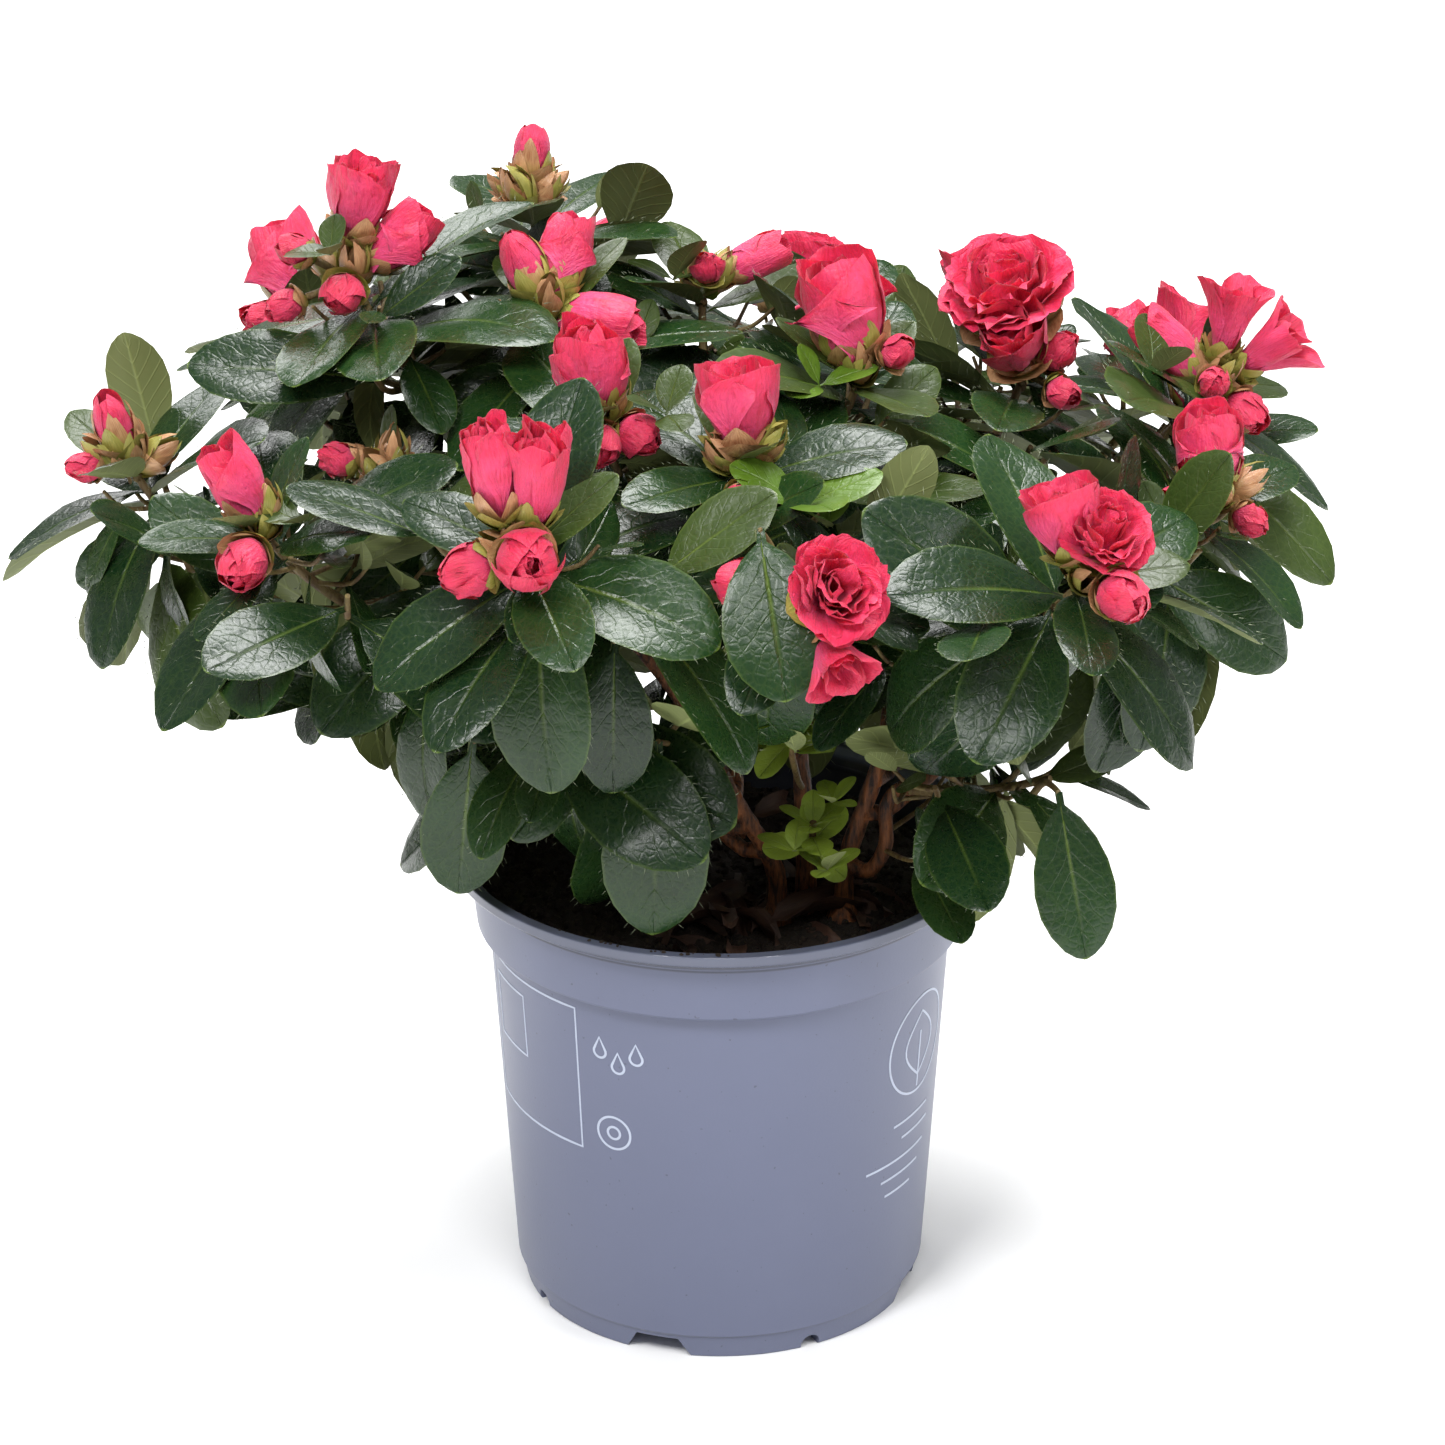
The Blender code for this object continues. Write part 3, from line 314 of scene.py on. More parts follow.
# form: its rings of petals from the outside in, each with the number of petals,
# share of the radius at the rim, share of the length, inward turn in degrees,
# flare at the rim, crumple, width and share of the radius that it wraps round
PETALS = {
    "double": (
        (4, 0.64, 0.96, 52, 0.05, 0.40, 2.00, 0.9),
        (4, 0.54, 1.00, 46, 0.05, 0.52, 1.90, 0.7),
        (4, 0.38, 0.99, 30, 0.05, 0.72, 1.90, 0.5),
        (3, 0.16, 0.95, 12, 0.03, 0.66, 1.80, 0.4),
    ),
    "open": (
        (5, 1.00, 0.60, -10, 0.12, 0.44, 1.60, 1.2),
        (5, 0.84, 0.82, 6, 0.12, 0.60, 1.65, 0.9),
        (4, 0.56, 0.92, 12, 0.10, 0.74, 2.00, 0.6),
        (4, 0.32, 0.94, 10, 0.06, 0.80, 2.20, 0.4),
        (3, 0.12, 0.90, 8, 0.02, 0.80, 2.60, 0.3),
    ),
    "goblet": (
        (3, 0.70, 1.00, 54, 0.08, 0.26, 2.20, 0.95),
        (4, 0.54, 0.99, 42, 0.07, 0.40, 1.80, 0.75),
        (3, 0.24, 0.95, 20, 0.04, 0.52, 1.70, 0.5),
        (3, 0.08, 0.92, 12, 0.02, 0.60, 2.20, 0.3),
    ),
    "vase": (
        (2, 0.46, 0.96, 84, 0.04, 0.22, 2.60, 0.92),
        (3, 0.38, 1.02, 74, 0.06, 0.30, 2.10, 0.85),
        (3, 0.20, 0.98, 50, 0.04, 0.44, 1.90, 0.5),
        (3, 0.07, 0.95, 20, 0.02, 0.50, 2.40, 0.3),
    ),
    "fan": (
        (4, 0.90, 1.00, 8, 0.12, 0.36, 1.25, 0.5),
        (3, 0.52, 0.99, 8, 0.10, 0.46, 1.30, 0.5),
        (3, 0.24, 0.92, 8, 0.04, 0.50, 1.20, 0.4),
    ),
    "bud": (
        (3, 0.08, 0.96, 132, 0.0, 0.20, 2.30, 0.90),
        (3, 0.10, 1.01, 118, 0.02, 0.38, 2.10, 0.78),
        (3, 0.03, 0.99, 104, 0.02, 0.44, 2.30, 0.55),
        (3, 0.02, 0.95, 90, 0.0, 0.50, 2.80, 0.30),
    ),
    "scaled": ((4, 0.18, 1.00, 90, 0.0, 0.16, 1.9, 0.7),),
    "sheath": (),
}
# form: rings of scales, as above with the last four the same for all of them
SCALES = {
    "double": ((5, 0.76, 0.46, 54), (5, 0.92, 0.30, 34)),
    "open": ((5, 0.80, 0.34, 34), (4, 0.9, 0.2, 20)),
    "vase": ((5, 0.80, 0.54, 62), (5, 0.95, 0.36, 36)),
    "fan": ((5, 0.55, 0.40, 34), (4, 0.7, 0.24, 16)),
    "goblet": ((5, 0.80, 0.44, 62), (4, 0.95, 0.28, 36)),
    "bud": ((4, 0.92, 0.48, 64), (3, 1.1, 0.32, 30)),
    "sheath": ((4, 0.20, 1.00, 80), (4, 0.8, 0.80, 50), (3, 1.2, 0.56, 34)),
    "scaled": ((4, 0.80, 0.66, 74), (4, 0.46, 0.88, 80), (4, 1.2, 0.46, 40)),
}
SCALE_SHAPE = (0.0, 0.10, 1.7, 0.95)
# how far length, bend, cup, width, flare and crumple vary in a ring
RING_RANGES = ((0.94, 1.02), (0.92, 1.06), (0.75, 0.95), (0.9, 1.08), (0.5, 1.4), (0.7, 1.2))
PETAL_HALF_WIDTH = 0.33
SHEATHED_BUDS = 4
SHEATHED_BUD_RADIUS = 3.4 * MM
# in millimetres: foot below the spray's tip, and how far an end is above and beside it
SHEATHED_BUD_FOOT = 4
SHEATHED_BUD_RISE = (5, 10)
SHEATHED_BUD_SPREAD = (5, 9)
STALK_RADII = (1.0 * MM, 0.9 * MM, 0.9 * MM)
# the visible bud's share of its plain solid's radius, and the longest body in radii
BUD_SHARE = 0.9
LONGEST = {"bud": 2.4, "scaled": 3.8}
# spray and number of a flower: its form, foot and far end from the spray's tip in
# millimetres, and its radius, where it faces another way than its plain solid
TURNED = {
    ("front_left", 0): ("double", (-2, 0, 3), (-6, -3, 28), 6.4),
    ("front_left", 1): ("double", (3, 1, 1), (5, -3, 27), 6.2),
    ("far_right", 0): ("fan", (0, 0, 1), (5, 0, 22), 6.8),
    ("far_right", 1): ("fan", (2, 0, 0), (18, -2, 12), 6.6),
    ("right_front", 0): ("goblet", (-2, 0, 1), (-7, 1, 19), 7),
    ("right_front", 1): ("open", (1, 1, 4), (4, -6, 16), 8.4),
    ("right_top", 0): ("open", (-3, 4, 8), (-6, -2, 25), 13),
    ("right_top", 1): ("goblet", (-1, -3, 1), (-6, -12, 15), 8),
    ("low_front", 0): ("open", (5, -9, 3), (9, -21, 12), 9),
    ("low_front", 1): ("fan", (4, -10, -2), (9, -21, -10), 7),
    ("centre_front", 0): ("goblet", (0, 0, -1), (-2, 3, 20), 8.4),
    ("upper_left", 0): ("double", (1, 1, 4), (4, 2, 25), 7.6),
    ("upper_left", 1): ("vase", (3, 0, 0), (17, 0, 13), 6),
    ("rear", 0): ("open", (1, 5, -2), (4, 20, 8), 10),
    ("top", 0): ("scaled", (0, 1, 1), (1, 3, 16), 4.6),
    ("top", 1): ("sheath", (0, 1, -2), (-9, 0, 6), 3.6),
    ("top", 2): ("sheath", (0, 1, -2), (9, 1, 6), 3.6),
    ("upper_middle", 3): ("sheath", (-4, -2, -4), (-16, -8, -2), 4),
    ("far_left", 2): ("sheath", (1, 0, -3), (12, 2, 4), 4),
}

# Pot: radii and heights of the turned wall
POT_HEIGHT = 107 * MM
WALL = 1.2 * MM
LIP_RADIUS = 60 * MM
LIP_WIDTH = 2.6 * MM
LIP_INNER_DROP = 1.4 * MM
LIP_Z = POT_HEIGHT - 2.4 * MM
BAND_RADIUS = 56.6 * MM
BAND_Z = LIP_Z - 2.4 * MM
UNDERCUT = 0.3 * MM
COLLAR_TOP_RADIUS = 55.4 * MM
COLLAR_FOOT_RADIUS = 54.0 * MM
COLLAR_FOOT_Z = 89 * MM
BODY_TOP_RADIUS = 51.2 * MM
BODY_TOP_Z = 87.6 * MM
BODY_FOOT_RADIUS = 45.9 * MM
FOOT_HEIGHT = 6 * MM
FOOT_TOP_RADIUS = 45.3 * MM
FOOT_BOTTOM_RADIUS = 44.1 * MM
FOOT_WIDTH = 3.4 * MM
FOOT_DRAFT = 0.6 * MM
FLOOR_Z = 1.8 * MM
LEDGE_Z = 6.5 * MM
LEDGE_RADIUS = 36 * MM
LEDGE_SLOPE = 2 * MM
NOTCH_COUNT = 4
NOTCH_TURN = math.radians(-108)
NOTCH_DEPTH = 10 * MM
WIDE_NOTCH = (NOTCH_DEPTH, 16 * MM, 4.6 * MM, 1)
WIDE_NOTCH_TOP_SHARE = 0.6
ROUND_NOTCH_RADIUS = 2.3 * MM
ROUND_NOTCH_Z = 0.8 * MM
DRAIN_RADIUS = 3.2 * MM
DRAIN_CIRCLE = 27 * MM
DRAIN_DEPTH = 6 * MM
POT_ROUNDING = 0.45 * MM
POT_STEPS = 144
# plain bars of print at the right: first degree, height and span in degrees
BARS = ((52, 50, 20), (56, 46, 16), (42, 41, 28), (48, 37, 20), (50, 33, 14))

PEAT_TOP = 97 * MM
PEAT_EDGE = COLLAR_FOOT_RADIUS - WALL - 0.6 * MM
HAIRS = 36
LITTER = 46
# turns of the litter at the front in degrees, and in millimetres its distance from the
# axis (least, most, usual), its length and the circle that its tips stay in
LITTER_FRONT = (-110, -20)
LITTER_REACH = (6, 46, 20)
LITTER_LENGTH = (9, 24)
LITTER_EDGE = 51
# crumbs on the lip: first and last turn in degrees, inner and outer radius
LIP_CRUMBS = (-128, -86, 57.8 * MM, 59.0 * MM)
# how a dry leaf's bend, cup, width, flare and crumple vary
LITTER_RANGES = ((0.4, 2.2), (4, 9), (0.5, 1.2), (-0.1, 0.1), (0.5, 1.0))

CAMERA_PLACE = (0.0006, -1.1644, 0.6650)
CAMERA_AIM = (0.0006, 0, 0.1346)
CAMERA_LENS = 145.4
# name, place, width, height and power of each lamp
LAMPS = (
    ("key", (-0.6, -1.0, 1.5), 0.5, 0.5, 19),
    ("side", (1.3, -0.7, 0.9), 0.4, 0.8, 7),
    ("top", (0.1, 0.5, 1.7), 1.0, 0.6, 37),
    ("near", (0.3, -1.3, 1.9), 0.8, 0.8, 19),
    ("rear", (-0.7, 1.5, 1.0), 0.7, 0.7, 9),
)
LAMP_AIM = (0, 0, 0.15)
SOFT_LIGHT = 0.30
FLOOR_REACH = 4


class Term:
    """A node's output socket, which adds maths nodes as Python expressions."""

    def __init__(self, tree, socket):
        self.tree = tree
        self.socket = socket
        self.kind = socket.type

    def other(self, name):
        """Another output of the same node."""
        return Term(self.tree, self.socket.node.outputs[name])

    def joined(self, operation, first, second):
        vectors = [isinstance(v, tuple) or getattr(v, "kind", "") == "VECTOR" for v in (first, second)]
        if not any(vectors):
            return self.tree.maths(operation, first, second)
        sockets = {0: first, 1: second}
        if operation == "MULTIPLY" and not all(vectors):
            operation = "SCALE"
            sockets = {0: first, "Scale": second} if vectors[0] else {0: second, "Scale": first}
        return self.tree.node("ShaderNodeVectorMath", {"operation": operation}, sockets)

    def __add__(self, other):
        return self.joined("ADD", self, other)

    __radd__ = __add__

    def __sub__(self, other):
        return self.joined("SUBTRACT", self, other)

    def __rsub__(self, other):
        return self.joined("SUBTRACT", other, self)

    def __mul__(self, other):
        return self.joined("MULTIPLY", self, other)

    __rmul__ = __mul__

    def __truediv__(self, other):
        return self.joined("DIVIDE", self, other)

    def __pow__(self, other):
        return self.joined("POWER", self, other)

    def __abs__(self):
        return self.tree.maths("ABSOLUTE", self)


class Tree:
    """A node tree in the making."""

    def __init__(self, owner):
        self.owner = owner

    def node(self, kind, settings=None, sockets=None, output=0, **named):
        """A node of this type, set first and then fed with values or links."""
        made = self.owner.nodes.new(kind)
        for name, value in (settings or {}).items():
            setattr(made, name, value)
        fed = {name.replace("_", " "): value for name, value in named.items()}
        for name, value in {**(sockets or {}), **fed}.items():
            if isinstance(value, Term):
                self.owner.links.new(value.socket, made.inputs[name])
            else:
                made.inputs[name].default_value = value
        return Term(self, made.outputs[output]) if made.outputs else made

    def maths(self, operation, *values):
        return self.node("ShaderNodeMath", {"operation": operation}, dict(enumerate(values)))

    def clamped(self, value):
        return self.node("ShaderNodeClamp", Value=value)

    def noise(self, vector, scale, detail=2.0, roughness=0.5):
        return self.node("ShaderNodeTexNoise", Vector=vector, Scale=scale, Detail=detail, Roughness=roughness)

    def mix(self, share, first, second):
        """A mix of two colours, each three numbers or a link."""
        first, second = ((*v, 1) if isinstance(v, tuple) else v for v in (first, second))
        return self.node("ShaderNodeMix", {"data_type": "RGBA"}, {0: share, 6: first, 7: second}, 2)

    def attribute(self, name, kind="FLOAT"):
        """A named attribute, in a geometry tree."""
        return self.node("GeometryNodeInputNamedAttribute", {"data_type": kind}, Name=name)


def geometry_tree(name, **inputs):
    """An empty geometry tree, and what gives its named inputs: label to socket type and value."""
    group = bpy.data.node_groups.new(name, "GeometryNodeTree")
    group.interface.new_socket("Geometry", in_out="INPUT", socket_type="NodeSocketGeometry")
    for label, (kind, value) in inputs.items():
        socket = group.interface.new_socket(label, in_out="INPUT", socket_type="NodeSocket" + kind)
        if value is not None:
            socket.default_value = value
    group.interface.new_socket("Geometry", in_out="OUTPUT", socket_type="NodeSocketGeometry")
    tree = Tree(group)
    return tree, tree.node("NodeGroupInput").other


def ended(tree, geometry, finish, under=None):
    """Realize Instances and Set Material, which end every tree."""
    geometry = tree.node("GeometryNodeRealizeInstances", Geometry=geometry)
    geometry = tree.node("GeometryNodeSetMaterial", Geometry=geometry, Material=finish)
    if under:
        below = tree.attribute("under", "BOOLEAN")
        geometry = tree.node("GeometryNodeSetMaterial", Geometry=geometry, Material=under, Selection=below)
    tree.node("NodeGroupOutput", Geometry=geometry)
    return tree.owner


def made_plain(obj, modifier):
    """The object with the result of its one modifier as its plain mesh."""
    bpy.context.view_layer.update()
    graph = bpy.context.evaluated_depsgraph_get()
    result = bpy.data.meshes.new_from_object(obj.evaluated_get(graph))
    obj.modifiers.remove(modifier)
    obj.data = result
    return obj


def grown(name, group, mesh, **inputs):
    """The plain mesh that a geometry tree makes of a mesh, as a new object."""
    obj = linked(name, mesh)
    modifier = obj.modifiers.new("grow", "NODES")
    modifier.node_group = group
    for item in group.interface.items_tree:
        if item.in_out == "INPUT" and item.name in inputs:
            modifier[item.identifier] = inputs[item.name]
    return made_plain(obj, modifier)


def blade_tree():
    """Bends a flat form along and across, once for each point: a leaf, petal or scale."""
    tree, given = geometry_tree(
        "bent_blades", form=("Object", None), finish=("Material", None), under=("Material", None),
        crease=("Float", 7.0), seed=("Float", 3.0),
    )
    form = tree.node("GeometryNodeObjectInfo", Object=given("form"), output="Geometry")
    copies = tree.node("GeometryNodeInstanceOnPoints", Points=given("Geometry"), Instance=form)
    blades = tree.node("GeometryNodeRealizeInstances", Geometry=copies)
    names = ("along", "across", "lift", "length", "bend", "cup", "width", "flare", "crumple", "phase")
    along, across, lift, length, bend, cup, width, flare, crumple, phase = map(tree.attribute, names)
    root, ahead, side, upper = (tree.attribute(name, "FLOAT_VECTOR") for name in BLADE_DIRECTIONS)
    turn = along * bend
    sine, cosine = tree.maths("SINE", turn), tree.maths("COSINE", turn)
    wrap = across * width * cup
    sideways = tree.maths("SINE", wrap) / cup
    rise = (1 - tree.maths("COSINE", wrap)) / cup
    place = tree.node("ShaderNodeCombineXYZ", X=across * width, Y=along * 0.45)
    creases = tree.node(
        "ShaderNodeTexNoise", {"noise_dimensions": "4D"},
        Vector=place, W=phase + given("seed"), Scale=given("crease"), Detail=1.5,
    )
    ragged = tree.noise(place + (7.0, 3.0, 0.0), given("crease") * 1.6, 1.0) - 0.5
    forward = sine / bend + ragged * crumple * along**5 * 0.34
    height = rise + lift + (creases - 0.5) * crumple * along**2 - flare * along**3
    normal = upper * cosine + ahead * sine
    spine = ahead * forward - upper * ((1 - cosine) / bend)
    position = root + (spine + side * sideways + normal * height) * length
    blades = tree.node("GeometryNodeSetPosition", Geometry=blades, Position=position)
    blades = tree.node("GeometryNodeSetShadeSmooth", Geometry=blades)
    return ended(tree, blades, given("finish"), given("under"))


def limb_tree():
    """Skins smooth tapering limbs, with bark relief, over chains of points."""
    tree, given = geometry_tree(
        "limbs", sides=("Int", 10), step=("Float", 1.2 * MM), relief=("Float", 0.3 * MM),
        grain=("Float", 500.0), finish=("Material", None),
    )
    curve = tree.node("GeometryNodeMeshToCurve", Mesh=given("Geometry"))
    curve = tree.node("GeometryNodeCurveSplineType", {"spline_type": "CATMULL_ROM"}, Curve=curve)
    curve = tree.node("GeometryNodeResampleCurve", {"mode": "LENGTH"}, Curve=curve, Length=given("step"))
    circle = tree.node("GeometryNodeCurvePrimitiveCircle", Resolution=given("sides"), Radius=1.0)
    thick = tree.attribute("thick")
    made = tree.node(
        "GeometryNodeCurveToMesh", Curve=curve, Profile_Curve=circle, Scale=thick, Fill_Caps=True
    )
    here = tree.node("GeometryNodeInputPosition")
    rough = tree.noise(here * (1.0, 1.0, 0.3), given("grain"), 3.0, 0.6) - 0.5
    offset = tree.node("GeometryNodeInputNormal") * (rough * given("relief"))
    made = tree.node("GeometryNodeSetPosition", Geometry=made, Offset=offset)
    made = tree.node("GeometryNodeSetShadeSmooth", Geometry=made)
    return ended(tree, made, given("finish"))


def scatter_tree():
    """Strews copies of a form over a surface, turned and sized at random."""
    tree, given = geometry_tree(
        "strewn", form=("Object", None), density=("Float", 1e6), least=("Float", 0.4), most=("Float", 1.0),
        seed=("Int", SEED), finish=("Material", None),
    )
    seed = given("seed")
    sockets = {"Mesh": given("Geometry"), "Density": given("density"), "Seed": seed}
    points = tree.node("GeometryNodeDistributePointsOnFaces", {}, sockets)
    sockets = {0: (0, 0, 0), 1: (math.tau, math.tau, math.tau), "Seed": seed}
    turn = tree.node("FunctionNodeRandomValue", {"data_type": "FLOAT_VECTOR"}, sockets)
    sockets = {2: given("least"), 3: given("most"), "Seed": seed}
    size = tree.node("FunctionNodeRandomValue", {"data_type": "FLOAT"}, sockets, 1)
    form = tree.node("GeometryNodeObjectInfo", Object=given("form"), output="Geometry")
    sockets = {"Points": points, "Instance": form, "Rotation": turn, "Scale": size}
    return ended(tree, tree.node("GeometryNodeInstanceOnPoints", {}, sockets), given("finish"))


class Finish(Tree):
    """A material in the making, round its Principled shader."""

    def __init__(self, name, roughness, **constants):
        self.material = bpy.data.materials.new(name)
        self.material.use_nodes = True
        super().__init__(self.material.node_tree)
        self.shader = self.owner.nodes["Principled BSDF"]
        for label, value in {"Roughness": roughness, **constants}.items():
            self.shader.inputs[label.replace("_", " ")].default_value = value

    def here(self):
        return self.node("ShaderNodeTexCoord", output="Object")

    def blade(self):
        """The place on a blade, from one edge to the other and from root to tip, and its parts."""
        uv = self.node("ShaderNodeUVMap", {"uv_map": "blade"})
        return uv, self.node("ShaderNodeSeparateXYZ", Vector=uv)

    def fed(self, colour, height=None, strength=1.0, distance=MM, **feeds):
        """The material, once its colour, its relief and anything else feed the shader."""
        feeds["Base Color"] = colour
        if height:
            feeds["Normal"] = self.node("ShaderNodeBump", Height=height, Strength=strength, Distance=distance)
        for label, term in feeds.items():
            self.owner.links.new(term.socket, self.shader.inputs[label])
        return self.material


def leaf_finish(name, colour, rib, gloss):
    """The upper side of a leaf: leathery, netted with sunken veins, paler at its midrib and edge."""
    look = Finish(name, gloss, Coat_Weight=0.08, Coat_Roughness=0.12, Specular_IOR_Level=0.36)
    here = look.here()
    _, parts = look.blade()
    across, along = abs(parts * 2.0 - 1.0), parts.other("Y")
    wander = look.noise(here, 110.0)
    grain = look.noise(here, 1500.0, 3.0, 0.6)
    swell = look.noise(here, 230.0, 1.0)
    saw = abs(look.maths("FRACT", along * 7.0 - across * 2.4 + wander * 1.6) - 0.5) * 2.0
    vein = look.clamped((saw - 0.86) / 0.14) * (1.05 - across)
    net = look.node("ShaderNodeTexVoronoi", {"feature": "DISTANCE_TO_EDGE"}, Vector=here, Scale=560.0)
    cell = look.clamped(net * 5.0)
    midrib = look.clamped(1.0 - across / 0.065)
    edge = look.clamped((across - 0.93) / 0.07)
    tip = look.clamped((along - 0.985) / 0.01)
    pale = look.clamped(midrib * (0.95 - along * 1.1) + edge * 0.24 + tip * 0.6)
    shade = look.mix(look.clamped(wander * 1.5 - 0.25), tuple(c * 0.7 for c in colour), colour)
    shade = look.mix(vein * 0.07 + (1.0 - cell) * 0.05, shade, rib)
    height = cell * 0.13 + grain * 0.12 - vein * 0.30 - midrib * 0.8 + wander * 1.0 + swell * 1.0
    roughness = gloss + grain * 0.20 - 0.06
    return look.fed(look.mix(pale, shade, rib), height, 0.9, 0.32 * MM, Roughness=roughness)


def under_finish(name, colour):
    """The paler, duller underside of a leaf, with its ribs standing out."""
    look = Finish(name, 0.6)
    _, parts = look.blade()
    across = abs(parts * 2.0 - 1.0)
    saw = abs(look.maths("FRACT", parts.other("Y") * 8.0 - across * 1.9) - 0.5) * 2.0
    rib = look.clamped((saw - 0.80) / 0.20) * 0.6 + look.clamped(1.0 - across / 0.08)
    return look.fed(look.mix(look.clamped(rib), colour, tuple(c * 1.5 for c in colour)), rib, 0.5, 0.3 * MM)


def petal_finish(name, foot, rim, fold):
    """Soft petals: pinker at the foot, painted darker and redder in the creases as painted shade, finely
    creased lengthwise.
    """
    look = Finish(name, 0.5, Subsurface_Weight=0.15, Subsurface_Scale=1.2 * MM, Sheen_Weight=0.1)
    here = look.here()
    uv, parts = look.blade()
    creases = look.noise(uv * (9.0, 1.4, 1.0), 3.0, 4.0, 0.6)
    blotch, wrinkle = look.noise(here, 190.0), look.noise(here, 480.0, 3.0, 0.6)
    shade = look.mix(look.clamped(parts.other("Y") * 1.1 + (blotch - 0.5) * 0.8), foot, rim)
    # painted shade: the creases darken towards the fold colour
    deep = look.clamped((creases - 0.5) * 2.6 + (blotch - 0.5) * 1.2)
    return look.fed(look.mix(deep, shade, fold), creases + wrinkle * 0.8, 0.8, 0.6 * MM)


def papery_finish(name, dark, light, grain, foot=None, gloss=0.36):
    """Dry papery scales and litter, streaked lengthwise, with a fresher foot where one is given."""
    look = Finish(name, gloss)
    uv, parts = look.blade()
    streaks = look.noise(uv * (grain, 1.5, 1.0), 2.5, 3.0, 0.6)
    blotch = look.noise(look.here(), 200.0)
    shade = look.mix(look.clamped(streaks * 1.0 + blotch * 0.9 - 0.5), dark, light)
    if foot:
        shade = look.mix(look.clamped(1.15 - parts.other("Y") * 1.8 + (blotch - 0.5)), shade, foot)
    return look.fed(shade, streaks, 0.5, 0.3 * MM)


def bark_finish(name, dark, light, scale):
    """Thin flaking bark in long fibrous plates."""
    look = Finish(name, 0.62)
    here = look.here()
    plates = look.noise(here * (1.0, 1.0, 0.14), scale, 4.0, 0.65)
    share = look.clamped(plates * 3.0 + look.noise(here, scale * 0.3) * 0.8 - 1.5)
    return look.fed(look.mix(share, dark, light), plates, 1.0, 0.9 * MM)


def peat_finish(name, dark, light):
    """Moist dark crumbs."""
    look = Finish(name, 0.92)
    here = look.here()
    crumbs = look.noise(here, 700.0, 5.0, 0.7)
    share = look.clamped(crumbs * 1.3 + look.noise(here, 120.0, 3.0) * 0.6 - 0.6)
    return look.fed(look.mix(share, dark, light), crumbs, 1.0, 1.2 * MM)


def plastic_finish():
    """Satin moulded plastic with fine dark specks and its lip glossier, with painted shade in bands under the
    lip, under the band, at the collar's foot and at the foot's top, and inside its rim.
    """
    look = Finish("pot_plastic", 0.4, Coat_Weight=0.1, Coat_Roughness=0.15)
    here = look.here()
    fleck = look.clamped((look.noise(here, 900.0, 1.0) - 0.76) * 30.0)
    cloud = look.noise(here, 28.0, 3.0, 0.6)
    height = look.node("ShaderNodeSeparateXYZ", Vector=here, output="Z")
    # painted shade: the inside of the wall above the collar's foot goes near black
    reach = look.node("ShaderNodeVectorMath", {"operation": "LENGTH"}, {0: here * (1.0, 1.0, 0.0)}, 1)
    above = look.clamped((height - COLLAR_FOOT_Z) / (2 * MM))
    between = (height - COLLAR_FOOT_Z) * 0.117 + (COLLAR_FOOT_RADIUS - WALL / 2)
    inner = look.clamped((between - reach) / (0.3 * MM)) * above
    # painted shade: dark bands under the lip, under the band, at the collar's foot and at the top of the foot
    painted_shade = 0.0
    for z, spread, deep in (
        (LIP_Z - 1.6 * MM, 1.2 * MM, 0.6),
        (BAND_Z - 0.9 * MM, 0.45 * MM, 0.9),
        (blend(BODY_TOP_Z, COLLAR_FOOT_Z, 0.5), 1.1 * MM, 0.55),
        (FOOT_HEIGHT - UNDERCUT / 2, 0.45 * MM, 0.5),
    ):
        painted_shade = look.clamped(1.0 - abs(height - z) / spread) * deep + painted_shade
    lip = look.clamped((height - BAND_Z) / (0.5 * MM))
    body = look.mix(cloud, (0.116, 0.131, 0.206), (0.134, 0.149, 0.230))
    body = look.mix(lip * 0.6, body, (0.072, 0.079, 0.108))
    # the painted shade inside the rim, then the bands of painted shade
    body = look.mix(inner * (cloud + 0.3), body, (0.022, 0.021, 0.024))
    body = look.mix(look.clamped(painted_shade), body, (0.035, 0.037, 0.050))
    body = look.mix(fleck * 0.55, body, (0.05, 0.055, 0.075))
    roughness = 0.44 - lip * 0.30 + (cloud - 0.5) * 0.12
    return look.fed(body, look.noise(here, 1500.0) + cloud * 0.4, 0.12, 0.2 * MM, Roughness=roughness)


def plain_finish(name, colour, roughness):
    look = Finish(name, roughness)
    return look.fed(look.mix(look.noise(look.here(), 300.0), colour, tuple(c * 0.8 for c in colour)))


def mm(place):
    """A place given in millimetres."""
    return Vector(place) * MM


def around(first, second, angle):
    """A direction turned by an angle from the first towards the second."""
    return first * math.cos(angle) + second * math.sin(angle)


def turned(radius, angle, z):
    """A point at a turn about the upright axis."""
    return radius * math.cos(angle), radius * math.sin(angle), z


def bezier(a, b, c, d, count):
    """Evenly numbered points on a cubic curve."""
    points = []
    for step in range(count):
        t = step / (count - 1)
        u = 1 - t
        points.append(a * u**3 + b * (3 * u * u * t) + c * (3 * u * t * t) + d * t**3)
    return points


def path_length(points):
    return sum((b - a).length for a, b in zip(points, points[1:]))


def along(points, share):
    """The point and direction at a share of a polyline's length."""
    left = share * path_length(points)
    for a, b in zip(points, points[1:]):
        length = (b - a).length
        if left <= length:
            return a.lerp(b, left / length), (b - a).normalized()
        left -= length
    return points[-1].copy(), (points[-1] - points[-2]).normalized()


def blend(a, b, share):
    return a + (b - a) * share


def taper(count, first, last):
    return [blend(first, last, i / (count - 1)) for i in range(count)]


def heading(point):
    """The horizontal direction from the pot's axis to a point."""
    flat = Vector((point.x, point.y, 0))
    return flat.normalized() if flat.length > 1 * MM else Vector((0, -1, 0))


def squared(direction, axis):
    """The part of a direction that is square to an axis, as a direction."""
    return (direction - axis * direction.dot(axis)).normalized()


def cross_frame(direction):
    """Two directions square to this one."""
    side = direction.cross(UP)
    if side.length < 0.05:
        side = direction.cross(Vector((1, 0, 0)))
    side.normalize()
    return side, side.cross(direction).normalized()


